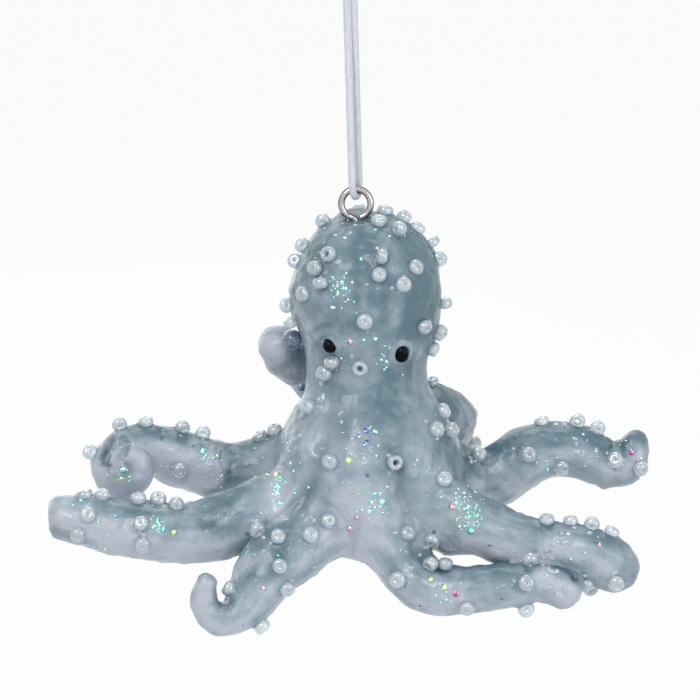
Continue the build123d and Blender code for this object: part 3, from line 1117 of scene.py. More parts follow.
                # The crease value darkens round each seat, as pooled wash and painted shade
                skin.crease[close] += self.pool_wash_and_shade * pool * np.exp(-(((away - 1.0) / 0.45) ** 2))
            skin.move(relief)

    def build(self, material: Material) -> None:
        """Make the Blender pieces.

        Args:
            material: the clay's finish.
        """
        for node, skin in self.skins.items():
            replaced = (node,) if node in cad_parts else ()
            make_piece(
                f"clay_{node}", skin.points, grid_faces(skin.rows, skin.columns, True, True), material,
                replaced,
                {"wash": skin.wash, "crease": skin.crease, "flow": skin.flow, "streaky": skin.streaky},
            )

    def outer(self) -> tuple[Array, Array]:
        """Every point of the figure's outer surface, and its outward direction."""
        points = np.vstack([skin.points[skin.shown] for skin in self.skins.values()])
        normals = np.vstack([skin.normals[skin.shown] for skin in self.skins.values()])
        return points, normals

    def nearest(self, places: Array) -> tuple[Array, Array]:
        """The surface points nearest to the given places, and their outward directions.

        Args:
            places: points in millimetres.

        Returns:
            The points and the directions, each the mean over some neighbours, a row for each place.
        """
        points, normals = self.outer()
        found, out = [], []
        for place in places:
            square = ((points - place) ** 2).sum(1)
            close = np.argpartition(square, self.neighbours)[: self.neighbours]
            found.append(points[square.argmin()])
            out.append(normals[close].mean(0))
        return np.array(found), unit(np.array(out))

    def seen_at(self, places: Array) -> tuple[Array, Array, Array]:
        """The surface points that the picture shows at the given places.

        Args:
            places: columns and rows of the picture, a row for each place.

        Returns:
            The points, their outward directions, and which of the places lie on the figure.
        """
        points, normals = self.outer()
        ahead = normals @ self.view.toward > 0.05
        points, normals = points[ahead], normals[ahead]
        columns, rows, depth = self.view.project(points)
        found, out, hit = [], [], []
        for column, row in places:
            aside, below = np.abs(columns - column), np.abs(rows - row)
            close = np.flatnonzero((aside < self.pick_pixels) & (below < self.pick_pixels))
            hit.append(len(close) > 0)
            if len(close):
                front = close[depth[close] < depth[close].min() + self.pick_depth]
                pick = front[(aside[front] ** 2 + below[front] ** 2).argmin()]
                found.append(points[pick])
                out.append(normals[pick])
        return np.array(found), np.array(out), np.array(hit)


# ---------------- beads, eyes, flakes


def separate_solids(node: str) -> list[Array]:
    """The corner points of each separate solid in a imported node.

    Each point starts with a label of its own, and every triangle gives its lowest label to its corners, until no
    label changes.

    Args:
        node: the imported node.

    Returns:
        The points of each solid, in millimetres.
    """
    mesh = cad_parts[node].data
    corners = np.empty(len(mesh.vertices) * 3)
    mesh.vertices.foreach_get("co", corners)
    places, index = np.unique(np.round(corners.reshape(-1, 3) / MM, 3), axis=0, return_inverse=True)
    mesh.calc_loop_triangles()
    triangles = np.empty(len(mesh.loop_triangles) * 3, int)
    mesh.loop_triangles.foreach_get("vertices", triangles)
    triangles = index.ravel()[triangles].reshape(-1, 3)
    labels = np.arange(len(places))
    while True:
        low = labels[triangles].min(1)
        fresh = labels.copy()
        for corner in range(3):
            np.minimum.at(fresh, triangles[:, corner], low)
        if (fresh == labels).all():
            return [places[labels == label] for label in np.unique(labels)]
        labels = fresh


@dataclass
class SeedBeads:
    """Every seed bead: a short rounded tube with a fine hole, pressed part way into the clay."""

    figure: ClayFigure
    diameter: float = 2.2
    length: float = 1.7
    hole: float = 0.6
    dimple_radius: float = 0.36
    dimple_share: float = 0.3
    standing_sink: float = 0.34
    lying_sink: float = 0.52
    least_standing: float = 0.7
    tip: float = 0.12
    drift_share: float = 0.5
    width_spread: tuple = (0.98, 1.1)
    length_spread: tuple = (0.86, 1.1)
    most_tint: float = 0.7
    open_holes: tuple[tuple[float, float], ...] = ()
    hole_pixels: float = 11.0
    around: int = 24
    section: int = 13
    placed: dict[str, tuple] = field(default_factory=dict)

    def open_section(self, diameter: float, length: float) -> tuple[Array, Array]:
        """The section of a wall round a clear hole: an ellipse, a little squared off.

        Args:
            diameter: the bead's.
            length: the bead's.

        Returns:
            The radius and the height of each point round the section.
        """
        turn = round_angles(self.section)
        cos, sin = np.cos(turn), np.sin(turn)
        radial = (diameter + self.hole) / 4 + (diameter - self.hole) / 4 * np.sign(cos) * np.abs(cos) ** 0.86
        return radial, length / 2 * np.sign(sin) * np.abs(sin) ** 0.86

    def filled_section(self, diameter: float, length: float) -> tuple[Array, Array]:
        """The section of a bead whose hole is full of varnish: a rounded edge, and a shallow bell-shaped dimple.

        Args:
            diameter: the bead's.
            length: the bead's.

        Returns:
            The radius and the height of each point from the top's middle round to the bottom's.
        """
        turn = np.linspace(0, np.pi / 2, self.section // 2 + 1)
        radial = np.maximum(diameter / 2 * np.cos(turn) ** 0.8, 0.02)
        dimple = 1 - self.dimple_share * np.exp(-((radial / self.dimple_radius) ** 2))
        height = length / 2 * np.sin(turn) ** 0.8 * dimple
        return np.r_[radial, radial[:0:-1]], np.r_[height, -height[:0:-1]]

    def shape(self, diameter: float, length: float, is_open: bool) -> Array:
        """One bead on the Z axis: its section carried round the hole's axis.

        Args:
            diameter: the bead's.
            length: the bead's.
            is_open: whether its hole is clear.

        Returns:
            Its points.
        """
        radial, height = (self.open_section if is_open else self.filled_section)(diameter, length)
        angle = round_angles(self.around)[:, None]
        rings = [radial * np.cos(angle), radial * np.sin(angle), np.broadcast_to(height, (self.around, self.section))]
        return np.stack(rings, -1).reshape(-1, 3)

    def is_open(self, middle: Array) -> bool:
        """Whether the photograph shows this bead's hole clear of varnish."""
        column, row, _ = self.figure.view.project(middle[None])
        return any(math.hypot(column[0] - x, row[0] - y) < self.hole_pixels for x, y in self.open_holes)

    def faces(self) -> Array:
        """Four-sided faces of a ring of rings that closes both ways."""
        i, j = np.meshgrid(np.arange(self.around), np.arange(self.section), indexing="ij")
        row, next_row, next_j = i * self.section, (i + 1) % self.around * self.section, (j + 1) % self.section
        return np.stack([row + j, next_row + j, next_row + next_j, row + next_j], -1).reshape(-1, 4)

    def settle(self, groups: list[str]) -> None:
        """Find where every bead touches the clay, and press them all in.

        Args:
            groups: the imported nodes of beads.
        """
        for group in groups:
            solids = separate_solids(group)
            centres = np.array([solid.mean(0) for solid in solids])
            self.placed[group] = (solids, centres, *self.figure.nearest(centres))
        seats = np.vstack([placed[2] for placed in self.placed.values()])
        self.figure.bed(seats, self.diameter / 2, 61)

    def build(self, group: str, material: Material, seed: int) -> None:
        """Make one carrier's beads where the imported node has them, seated on the finished clay.

        A solid's corners spread least across its hole's plane or most along its hole: the last direction of their
        covariance is the bead's axis, and a bead stands where that lies near the clay's outward direction.

        Args:
            group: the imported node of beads.
            material: their glass.
            seed: what the small differences between beads are drawn from.
        """
        draw = np.random.default_rng(seed)
        points, faces, tints = [], [], []
        for solid, centre, seat, out in zip(*self.placed[group]):
            axis = np.linalg.eigh(np.cov((solid - centre).T))[1][:, 2]
            standing = abs(axis @ out) > self.least_standing
            axis = unit(axis + draw.normal(scale=self.tip, size=3))
            diameter = self.diameter * draw.uniform(*self.width_spread)
            length = self.length * draw.uniform(*self.length_spread)
            half, sink = (length / 2, self.standing_sink) if standing else (diameter / 2, self.lying_sink)
            side = unit(np.cross(axis, [0.31, 0.62, 0.72]))
            turn = np.stack([side, np.cross(axis, side), axis])
            drift = centre - seat
            drift = drift - out * (drift @ out)
            middle = seat + drift * self.drift_share + out * (half - sink)
            faces.append(self.faces() + len(points) * self.around * self.section)
            points.append(held_in_box(self.shape(diameter, length, self.is_open(middle)) @ turn + middle))
            tints.append(np.full(self.around * self.section, draw.uniform(0, self.most_tint)))
        make_piece(
            f"seed_{group}", np.vstack(points), np.vstack(faces).tolist(), material, (group,),
            {"tint": np.concatenate(tints)},
        )


@dataclass
class Eye:
    """A black bead set in a hand-pressed ring of clay."""

    side: str
    stretch: float
    upright: tuple[float, float, float]
    bead_diameter: float = 2.1
    bead_rise: float = 0.25
    bead_grid: tuple = (30, 44)
    rim_diameter: float = 3.9
    rim_height: float = 0.72
    rim_stretch: float = 0.8
    rim_grid: tuple = (46, 96)
    # The rim's section: radius as a share of half its diameter, height as a share of its own
    rim_section: tuple = (
        (0.42, -1.0), (0.46, -0.3), (0.50, 0.26), (0.56, 0.50), (0.63, 0.56), (0.71, 0.46),
        (0.80, 0.28), (0.90, 0.10), (1.0, -0.10), (1.0, -1.0),
    )

    def build(self, figure: ClayFigure, clay: Material, black: Material) -> None:
        """Seat the bead, a ball a little taller than wide, and press the rim round it.

        Args:
            figure: the clay that carries them.
            clay: the rim's finish.
            black: the bead's finish.
        """
        low, high = (np.array(corner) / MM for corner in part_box(f"eye_bead_{self.side}"))
        seat, out = (row[0] for row in figure.nearest((low + high)[None] / 2))
        upright = np.array(self.upright)
        upright = unit(upright - out * (upright @ out))
        turn = np.stack([np.cross(upright, out), upright, out])
        ball, faces = unit_ball(*self.bead_grid)
        points = ball * [1.0, self.stretch, 1.0] * self.bead_diameter / 2 @ turn + seat + out * self.bead_rise
        make_piece(
            f"eye_{self.side}_bead", points, faces, black, (f"eye_bead_{self.side}",)
        )
        self.build_rim(clay, seat, turn)

    def build_rim(self, clay: Material, seat: Array, turn: Array) -> None:
        """Make the rim: its section carried round the bead, drawn in or out a little by a few sine waves.

        Args:
            clay: its finish.
            seat: its middle on the clay.
            turn: the eye's own three directions.
        """
        rows, columns = self.rim_grid
        curve = SmoothCurve(np.arange(len(self.rim_section)), self.rim_section)
        shares = curve.at(np.linspace(0, len(self.rim_section) - 1, rows))[0]
        angle = round_angles(columns)
        uneven = 0.05 * np.sin(2 * angle + 1.0) + 0.03 * np.sin(3 * angle + 2.1) + 0.015 * np.sin(7 * angle)
        radial = shares[:, :1] * self.rim_diameter / 2 * (1 + uneven * shares[:, :1])
        height = shares[:, 1:] * self.rim_height * (1 + 0.10 * np.sin(angle * 2 + 0.4) + 0.06 * np.sin(angle * 5))
        taller = 1 + (self.stretch - 1) * self.rim_stretch
        points = np.stack([radial * np.cos(angle), radial * np.sin(angle) * taller, height], -1)
        points = points.reshape(-1, 3) @ turn + seat
        first = np.arange(columns)
        last = first + (rows - 1) * columns
        closed = np.stack([last, np.roll(last, -1), np.roll(first, -1), first], -1)
        wash = np.repeat(0.6 + 0.15 * smooth_step(0.85, 1.0, shares[:, 0]), columns)
        # The inner edge against the bead darkens by the crease value, as painted shade with pooled wash
        crease = np.repeat(smooth_step(0.52, 0.44, shares[:, 0]), columns)
        make_piece(
            f"eye_{self.side}_rim", points, grid_faces(rows, columns, False, False) + closed.tolist(), clay,
            (f"eye_rim_{self.side}",),
            {"wash": wash, "crease": crease, "flow": points, "streaky": np.zeros(len(points))},
        )


@dataclass
class ScrewEye:
    """A wire ring closed against its own shank."""

    wire: float = 0.96
    outer_diameter: float = 5.06
    bend_radius: float = 0.8
    free_end_angle: float = -75.0
    shank_length: float = 9.0
    point_length: float = 1.4
    point_share: float = 0.15
    edge_length: float = 0.12
    edge_share: float = 0.35
    centre: tuple = (0.9, 0.0, -31.55)
    sides: int = 28

    def path(self) -> Array:
        """Points along the wire: up the shank, round the small bend the other way, then round the ring.

        Returns:
            A row for each point.
        """
        ring = (self.outer_diameter - self.wire) / 2
        drop = math.sqrt(ring**2 + 2 * ring * self.bend_radius)
        join = math.atan2(drop, self.bend_radius)
        shank = np.stack([np.zeros(30), np.linspace(-drop - self.shank_length, -drop, 30)], -1)
        bend = np.linspace(0, join, 14)[1:]
        bend_points = np.stack([np.cos(bend) - 1, np.sin(bend)], -1) * self.bend_radius - [0, drop]
        turn = np.linspace(math.pi + join, math.radians(self.free_end_angle), 120)[1:]
        flat = np.vstack([shank, bend_points, np.stack([np.cos(turn), np.sin(turn)], -1) * ring])
        return np.array(self.centre) + np.stack([flat[:, 0], np.zeros(len(flat)), flat[:, 1]], -1)

    def build(self, nickel: Material) -> None:
        """Carry a circle along the wire's path; the point narrows, and the free end is cut square with a round edge.

        Args:
            nickel: the wire's finish.
        """
        path = self.path()
        front = np.broadcast_to(TOWARD_VIEWER, path.shape)
        side = np.cross(unit(np.gradient(path, axis=0)), front)
        steps = np.r_[0, np.cumsum(np.linalg.norm(np.diff(path, axis=0), axis=1))]
        point = self.point_share + (1 - self.point_share) * smooth_step(-0.2, self.point_length, steps)
        past_edge = 1 - np.clip((steps[-1] - steps) / self.edge_length, 0, 1)
        radius = self.wire / 2 * point * np.sqrt(1 - self.edge_share * past_edge**2)
        rings = carried_rings(path, radius, front, side, self.sides)
        angle = round_angles(self.sides)
        parts = (np.cos(angle), np.sin(angle), steps[:, None])
        flow = np.stack([np.broadcast_to(part, rings.shape[:2]) for part in parts], -1)
        make_piece(
            "nickel_screw_eye", np.vstack([rings.reshape(-1, 3), path[:1], path[-1:]]),
            grid_faces(len(path), self.sides, True, True), nickel, ("screw_eye",),
            {"flow": np.vstack([flow.reshape(-1, 3), [[0, 0, 0], [0, 0, steps[-1]]]])},
        )


class Foil(Enum):
    """The glitter's colours, as display colours."""

    MINT = (172, 252, 228)
    TEAL = (128, 232, 232)
    GREEN = (150, 238, 182)
    STRAW = (225, 245, 160)
    VIOLET = (120, 110, 205)
    MAGENTA = (190, 80, 170)
    PINK = (215, 160, 185)
    WHITE = (235, 250, 250)


@dataclass
class Glitter:
    """Foil flakes stuck to the varnish: hexagons laid one by one, fine flakes in clusters, and specks all over."""

    figure: ClayFigure
    foil: Material
    thickness: float = 0.05
    tip: float = 0.16
    hexagon_scale: float = 1.15
    fine_sizes: tuple = (0.16, 0.46)
    speck_sizes: tuple = (0.12, 0.32)
    points_per_speck: int = 420
    mixture: tuple = (Foil.MINT, Foil.TEAL, Foil.GREEN, Foil.WHITE, Foil.MINT, Foil.PINK)

    def build(self, name: str, seats: Array, outs: Array, sizes: Array, colours: Array, seed: int) -> None:
        """Make thin six-sided plates, each tipped a little off its seat.

        Args:
            name: the piece's name.
            seats: where each flake lies.
            outs: the surface's outward directions.
            sizes: the flakes' widths.
            colours: display colours, a row for each flake.
            seed: what the tips are drawn from.
        """
        draw = np.random.default_rng(seed)
        count = len(seats)
        out = unit(outs + draw.normal(scale=self.tip, size=(count, 3)))
        side = unit(np.cross(out, unit(draw.normal(size=(count, 3)))))
        corners = carried_rings(seats, sizes / 2, side, np.cross(out, side), 6)
        top = corners + out[:, None] * self.thickness * 2
        bottom = corners - out[:, None] * self.thickness
        ring = np.arange(6)
        after = (ring + 1) % 6
        base = (np.arange(count) * 12)[:, None, None]
        walls = (np.stack([ring, ring + 6, after + 6, after], -1)[None] + base).reshape(-1, 4).tolist()
        caps = (np.stack([ring, ring[::-1] + 6])[None] + base).reshape(-1, 6).tolist()
        linear = np.array([rgb(*colour)[:3] for colour in colours])
        make_piece(
            name, np.concatenate([top, bottom], 1).reshape(-1, 3), walls + caps, self.foil,
            (), {"foil": np.repeat(linear, 12, 0)},
        )

    def lay_hexagons(self, flakes: tuple) -> None:
        """Lay the large flakes one by one.

        Args:
            flakes: each one's column and row in the picture, its width and its foil.
        """
        seats, outs, hit = self.figure.seen_at(np.array([flake[:2] for flake in flakes], float))
        laid = [flake for flake, there in zip(flakes, hit) if there]
        sizes = np.array([flake[2] for flake in laid]) * self.hexagon_scale
        colours = np.array([flake[3].value for flake in laid])
        self.build("hexagon_flakes", seats, outs, sizes, colours, 21)

    def lay_clusters(self, clusters: tuple, draw: np.random.Generator) -> None:
        """Scatter fine flakes round the given places.

        Args:
            clusters: each one's column, row, spread in pixels and count.
            draw: what the places, sizes and colours are drawn from.
        """
        spots = [
            np.stack([draw.normal(column, spread, count), draw.normal(row, spread, count)], -1)
            for column, row, spread, count in clusters
        ]
        seats, outs, _ = self.figure.seen_at(np.vstack(spots))
        sizes = draw.uniform(*self.fine_sizes, len(seats)) * draw.choice([0.8, 1.0, 1.35], len(seats))
        colours = np.array([self.mixture[i].value for i in draw.integers(0, 5, len(seats))])
        self.build("glitter_clusters", seats, outs, sizes, colours, 22)

    def lay_specks(self, draw: np.random.Generator) -> None:
        """Scatter a few specks over every piece's outer surface.

        Args:
            draw: what the places, sizes and colours are drawn from.
        """
        picked, facing = [], []
        for skin in self.figure.skins.values():
            shown = np.flatnonzero(skin.shown)
            count = min(len(shown), max(8, len(shown) // self.points_per_speck))
            pick = draw.choice(shown, count, replace=False)
            picked.append(skin.points[pick])
            facing.append(skin.normals[pick])
        seats, outs = np.vstack(picked), np.vstack(facing)
        sizes = draw.uniform(*self.speck_sizes, len(seats))
        colours = np.array([self.mixture[i].value for i in draw.integers(0, 6, len(seats))])
        self.build("glitter_specks", seats, outs, sizes, colours, 23)


@dataclass
class BlueBeads:
    """Two round blue beads held between the arm behind the neck and the head."""

    middles: tuple = ((-8.1, 2.2, -51.3), (-6.9, 2.0, -58.0))
    diameters: tuple = (3.0, 1.4)
    grid: tuple = (20, 32)

    def build(self, material: Material) -> None:
        """Make each as a ball of its own size.

        Args:
            material: their glass.
        """
        ball, faces = unit_ball(*self.grid)
        for number, (middle, diameter) in enumerate(zip(self.middles, self.diameters)):
            points = ball * diameter / 2 + np.array(middle)
            make_piece(f"blue_bead_{number}", points, faces, material)


@dataclass
class VarnishDrops:
    """Small clear domes where the varnish has gathered beside the beads and along the folds."""

    figure: ClayFigure
    around: int = 10
    rings: int = 4
    height_share: float = 0.75
    sink_share: float = 0.3
    offsets: tuple = (1.1, 2.1)
    radii: tuple = (0.12, 0.38)
    stretches: tuple = (1.0, 1.7)

    def beside(self, seats: Array, seed: int, each: int) -> Array:
        """Places close round some seats.

        Args:
            seats: the places that the drops gather round.
            seed: what their offsets are drawn from.
            each: how many there are round one seat.

        Returns:
            A row for each drop.
        """
        draw = np.random.default_rng(seed)
        places = np.repeat(seats, each, 0)
        return places + unit(draw.normal(size=places.shape)) * draw.uniform(*self.offsets, (len(places), 1))

    def in_clusters(self, clusters: tuple, seed: int) -> Array:
        """Places on the clay where the picture shows the varnish gathered.

        Args:
            clusters: each cluster's column, row, spread in pixels and count.
            seed: what the places are drawn from.

        Returns:
            A row for each drop.
        """
        draw = np.random.default_rng(seed)
        spots = [draw.normal((column, row), spread, (count, 2)) for column, row, spread, count in clusters]
        return self.figure.seen_at(np.vstack(spots))[0]

    def build(self, places: Array, material: Material, seed: int) -> None:
        """Make a drop on the clay at each place: rings of a sphere's cap, wider one way than the other.

        Args:
            places: points on or near the clay.
            material: the varnish.
            seed: what their sizes and shapes are drawn from.
        """
        draw = np.random.default_rng(seed)
        seats, outs = self.figure.nearest(places)
        count = len(seats)
        side = unit(np.cross(outs, unit(draw.normal(size=(count, 3)))))
        other = np.cross(outs, side)
        radius = draw.uniform(*self.radii, count)
        stretch = draw.uniform(*self.stretches, count)
        tilt = np.linspace(0.0, np.pi / 2, self.rings + 1)[:-1, None]
        angle = round_angles(self.around)
        wide, deep = np.cos(tilt) * np.cos(angle), np.cos(tilt) * np.sin(angle)
        high = np.broadcast_to(np.sin(tilt), wide.shape) * self.height_share - self.sink_share
        poles = [[0, 0, -self.sink_share], [0, 0, self.height_share - self.sink_share]]
        local = np.vstack([np.stack([wide, deep, high], -1).reshape(-1, 3), poles])
        frames = np.stack([side * stretch[:, None], other, outs], 1) * radius[:, None, None]
        points = np.einsum("pk,nkc->npc", local, frames) + seats[:, None]
        pattern = grid_faces(self.rings, self.around, True, True)
        faces = [[corner + row * len(local) for corner in face] for row in range(count) for face in pattern]
        tint = {"tint": np.repeat(draw.uniform(0.0, 0.5, count), len(local))}
        make_piece("varnish_drops", points.reshape(-1, 3), faces, material, (), tint)


# ---------------- thread


@dataclass
class HangingThread:
    """One strand doubled through the ring, with its two ends knotted together at the top."""

    diameter: float = 1.0
    length: float = 62.4
    spacing: float = 1.06
    lean: float = 0.9
    ring_top: float = -29.5
    bend: float = 1.25
    bend_drop: float = 1.07
    skew: float = 0.5
    straight: float = 6.0

    def build(self, satin: Material, knot: bpy.types.Object) -> None:
        """Make the thread as one smooth spline whose corners lie beside the ring's wire.

        Args:
            satin: its finish.
            knot: the piece that joins its two ends; not used.
        """
        low = self.ring_top - self.bend_drop
        share = self.straight / -self.ring_top
        route = []
        for sign in (-1, 1):
            top, foot = sign * self.spacing / 2, self.lean + sign * self.skew
            between = (top * share + foot * (1 - share), sign * self.bend * (1 - share), low + self.straight)
            strand = [(top, 0.0, 0.0), between, (foot, sign * self.bend, low)]
            route += strand[::-sign]
        curve = bpy.data.curves.new("thread_line", "CURVE")
        curve.dimensions = "3D"
        spline = curve.splines.new("NURBS")
        spline.points.add(len(route) - 1)
        for point, place in zip(spline.points, route):
            point.co = (*(value * MM for value in place), 1.0)
        spline.order_u = 3
        spline.use_endpoint_u = True
        spline.resolution_u = 24
        curve.bevel_depth = self.diameter / 2 * MM
        curve.bevel_resolution = 8
        curve.use_fill_caps = True
        curve.materials.append(satin)
        piece = put_in_scene("satin_hanging_thread", curve)
        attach(piece, Body.THREAD.value)
        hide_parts("hanging_thread")
        log.info("satin_hanging_thread: %d route points", len(route))


@dataclass
class Knot:
    """The two ends wound round themselves and pulled tight, with two short cut tails."""

    thread: float = 1.0
    coil_radius: float = 1.02
    turns: float = 3.0
    height: float = 2.2
    tail: float = 3.6
    lean: float = 16.0
    sides: int = 20

    def tube(self, path: Array, radius: Array) -> Array:
        """Rings of a tube round a path, each across it.

        Args:
            path: the tube's middle line.
            radius: its radius at each point.

        Returns:
            The rings' points, then the path's two ends.
        """
        along = unit(np.gradient(path, axis=0))
        side = unit(np.cross(along, [0.2, 0.9, 0.35]))
        rings = carried_rings(path, radius, side, np.cross(along, side), self.sides)
        return np.vstack([rings.reshape(-1, 3), path[:1], path[-1:]])

    def build(self, satin: Material) -> bpy.types.Object:
        """Make the coil as a helix that tightens at both ends, and the tails as leaning tubes.

        Args:
            satin: its finish.

        Returns:
            The knot.
        """
        s = np.linspace(0, 1, 150)
        angle = 2 * np.pi * self.turns * s
        tuck = np.minimum(smooth_step(0, 0.1, s), smooth_step(1, 0.9, s))
        radius = self.coil_radius * (0.25 + 0.75 * tuck) * (1 + 0.05 * np.sin(angle * 0.5))
        coil = np.stack([radius * np.cos(angle), radius * np.sin(angle), (s - 0.5) * self.height], -1)
        paths = [(coil, np.full(len(s), self.thread / 2))]
        reach = np.linspace(0, self.tail, 30)
        width = self.thread / 2 * (1 + 0.10 * smooth_step(self.tail - 0.7, self.tail, reach))
        tilt = math.radians(self.lean)
        for sign in (-1, 1):
            aside = reach * math.sin(tilt) * sign + 0.1 * sign
            tail = np.stack([aside, 0.12 * np.sin(reach * 1.4 + sign), reach * math.cos(tilt)], -1)
            paths.append((tail, width))
        points, faces, start = [], [], 0
        for path, width in paths:
            faces += [[number + start for number in face] for face in grid_faces(len(path), self.sides, True, True)]
            points.append(self.tube(path, width))
            start += len(points[-1])
        return make_piece(
            "pulled_thread_knot", np.vstack(points), faces, satin, ("thread_knot",), body=Body.THREAD
        )


# ---------------- studio

SQUARE = ((-1, -1), (1, -1), (1, 1), (-1, 1))


@dataclass(frozen=True)
class Lamp:
    """A square soft lamp that faces the ornament: its place and size in metres, and its power in watts."""

    name: str
    place: tuple[float, float, float]
    size: float
    power: float
    colour: tuple[float, float, float] = (1.0, 1.0, 1.0)

    def build(self, target: Vector) -> None:
        """Hang it.

        Args:
            target: the place that it is turned to, in metres.
        """
        light = bpy.data.lights.new(self.name, "AREA")
        light.shape, light.size, light.energy, light.color = "SQUARE", self.size, self.power, self.colour
        lamp = put_in_scene(self.name, light)
        lamp.location = self.place
        lamp.rotation_euler = (target - Vector(self.place)).to_track_quat("-Z", "Y").to_euler()


@dataclass
class Studio:
    """Camera, soft lamps and a white surround."""

    view: View = View()
    sensor: float = 36.0
    soft_light: tuple = (0.95, 0.97, 1.0, 1.0)
    soft_strength: float = 0.44
    floor_colour: tuple = rgb(240, 241, 243)
    floor_glow: float = 0.93
    floor_reach: float = 6.0
    floor_height: float = -0.2
    lamps: tuple[Lamp, ...] = (
        Lamp("key_lamp", (-0.35, -0.7, 0.55), 0.5, 3.5, (1.0, 0.99, 0.97)),
        Lamp("left_glint_lamp", (-0.22, -0.75, 0.62), 0.05, 0.45),
        Lamp("right_glint_lamp", (0.30, -0.8, 0.45), 0.05, 0.35),
        Lamp("fill_lamp", (0.6, -0.5, 0.1), 0.5, 1.65, (0.96, 0.98, 1.0)),
        Lamp("top_lamp", (0.05, 0.25, 0.7), 0.4, 1.4),
        Lamp("back_lamp", (-0.35, 0.75, 0.25), 0.9, 1.9, (1.0, 0.99, 0.98)),
    )

    def camera(self) -> None:
        """Put the camera in front, a little above, with the picture's width at the ornament's middle."""
        lens = bpy.data.cameras.new("camera")
        lens.sensor_width = self.sensor
        lens.lens = self.sensor * self.view.distance / self.view.picture_width
        lens.clip_start, lens.clip_end = 0.01, 50.0
        camera = put_in_scene("camera", lens)
        camera.location = (np.array(self.view.target) + self.view.toward * self.view.distance) * MM
        camera.rotation_euler = (math.radians(90.0 - self.view.elevation), 0, 0)
        bpy.context.scene.camera = camera

    def surround(self) -> None:
        """A world that is white to the camera, to mirrors and through glass, and softer as light."""
        world = bpy.data.worlds.new("surround")
        bpy.context.scene.world = world
        world.use_nodes = True
        tree = world.node_tree
        tree.nodes.clear()
        output, mix, path, seen, either, white, soft = (
            tree.nodes.new("ShaderNode" + kind)
            for kind in ("OutputWorld", "MixShader", "LightPath", "Math", "Math", "Background", "Background")
        )
        seen.operation = either.operation = "MAXIMUM"
        white.inputs["Color"].default_value = (1, 1, 1, 1)
        soft.inputs["Color"].default_value = self.soft_light
        soft.inputs["Strength"].default_value = self.soft_strength
        for source, socket in (
            (path.outputs["Is Camera Ray"], seen.inputs[0]),
            (path.outputs["Is Transmission Ray"], seen.inputs[1]),
            (seen.outputs[0], either.inputs[0]),
            (path.outputs["Is Glossy Ray"], either.inputs[1]),
            (either.outputs[0], mix.inputs[0]),
            (soft.outputs[0], mix.inputs[1]),
            (white.outputs[0], mix.inputs[2]),
            (mix.outputs[0], output.inputs[0]),
        ):
            tree.links.new(source, socket)

    def floor(self) -> None:
        """A wide white floor well below the ornament, which keeps its shadow."""
        sheet = ShaderSheet("studio_floor")
        sheet.dress(Base_Color=self.floor_colour, Roughness=0.9)
        glow = sheet.add("Emission", None, Color=(1, 1, 1, 1), Strength=1.0)
        path = sheet.add("LightPath")
        seen = sheet.math("MAXIMUM", path.outputs["Is Camera Ray"], path.outputs["Is Transmission Ray"])
        seen = sheet.math("MAXIMUM", seen, path.outputs["Is Glossy Ray"])
        mix = sheet.add("MixShader")
        sheet.set(mix, 0, sheet.times(seen, self.floor_glow))
        sheet.set(mix, 1, sheet.shader.outputs[0])
        sheet.set(mix, 2, glow.outputs[0])
        sheet.tree.links.new(mix.outputs[0], sheet.output.inputs[0])
        corners = [(x * self.floor_reach, y * self.floor_reach, self.floor_height) for x, y in SQUARE]
        mesh = bpy.data.meshes.new("studio_floor")
        mesh.from_pydata(corners, [], [[0, 1, 2, 3]])
        mesh.materials.append(sheet.material)
        floor = put_in_scene("studio_floor", mesh)

    def build(self) -> None:
        """Lamps, surround and floor."""
        for lamp in self.lamps:
            lamp.build(Vector(self.view.target) * MM)
        self.surround()
        self.floor()
        bpy.context.scene.view_settings.view_transform = "Standard"


# ---------------- tables

# Height below the crown as a share of the body's height, and half width as a share of half the head's width
BODY_SHARES = (
    (0.0, 0.14), (0.008, 0.3), (0.026, 0.49), (0.056, 0.68), (0.095, 0.83), (0.145, 0.94),
    (0.23, 1.0), (0.3, 0.97), (0.36, 0.89), (0.42, 0.8), (0.48, 0.78), (0.54, 0.86),
    (0.6, 1.01), (0.67, 1.16), (0.76, 1.2), (0.85, 1.12), (0.93, 0.95), (0.985, 0.7),
)
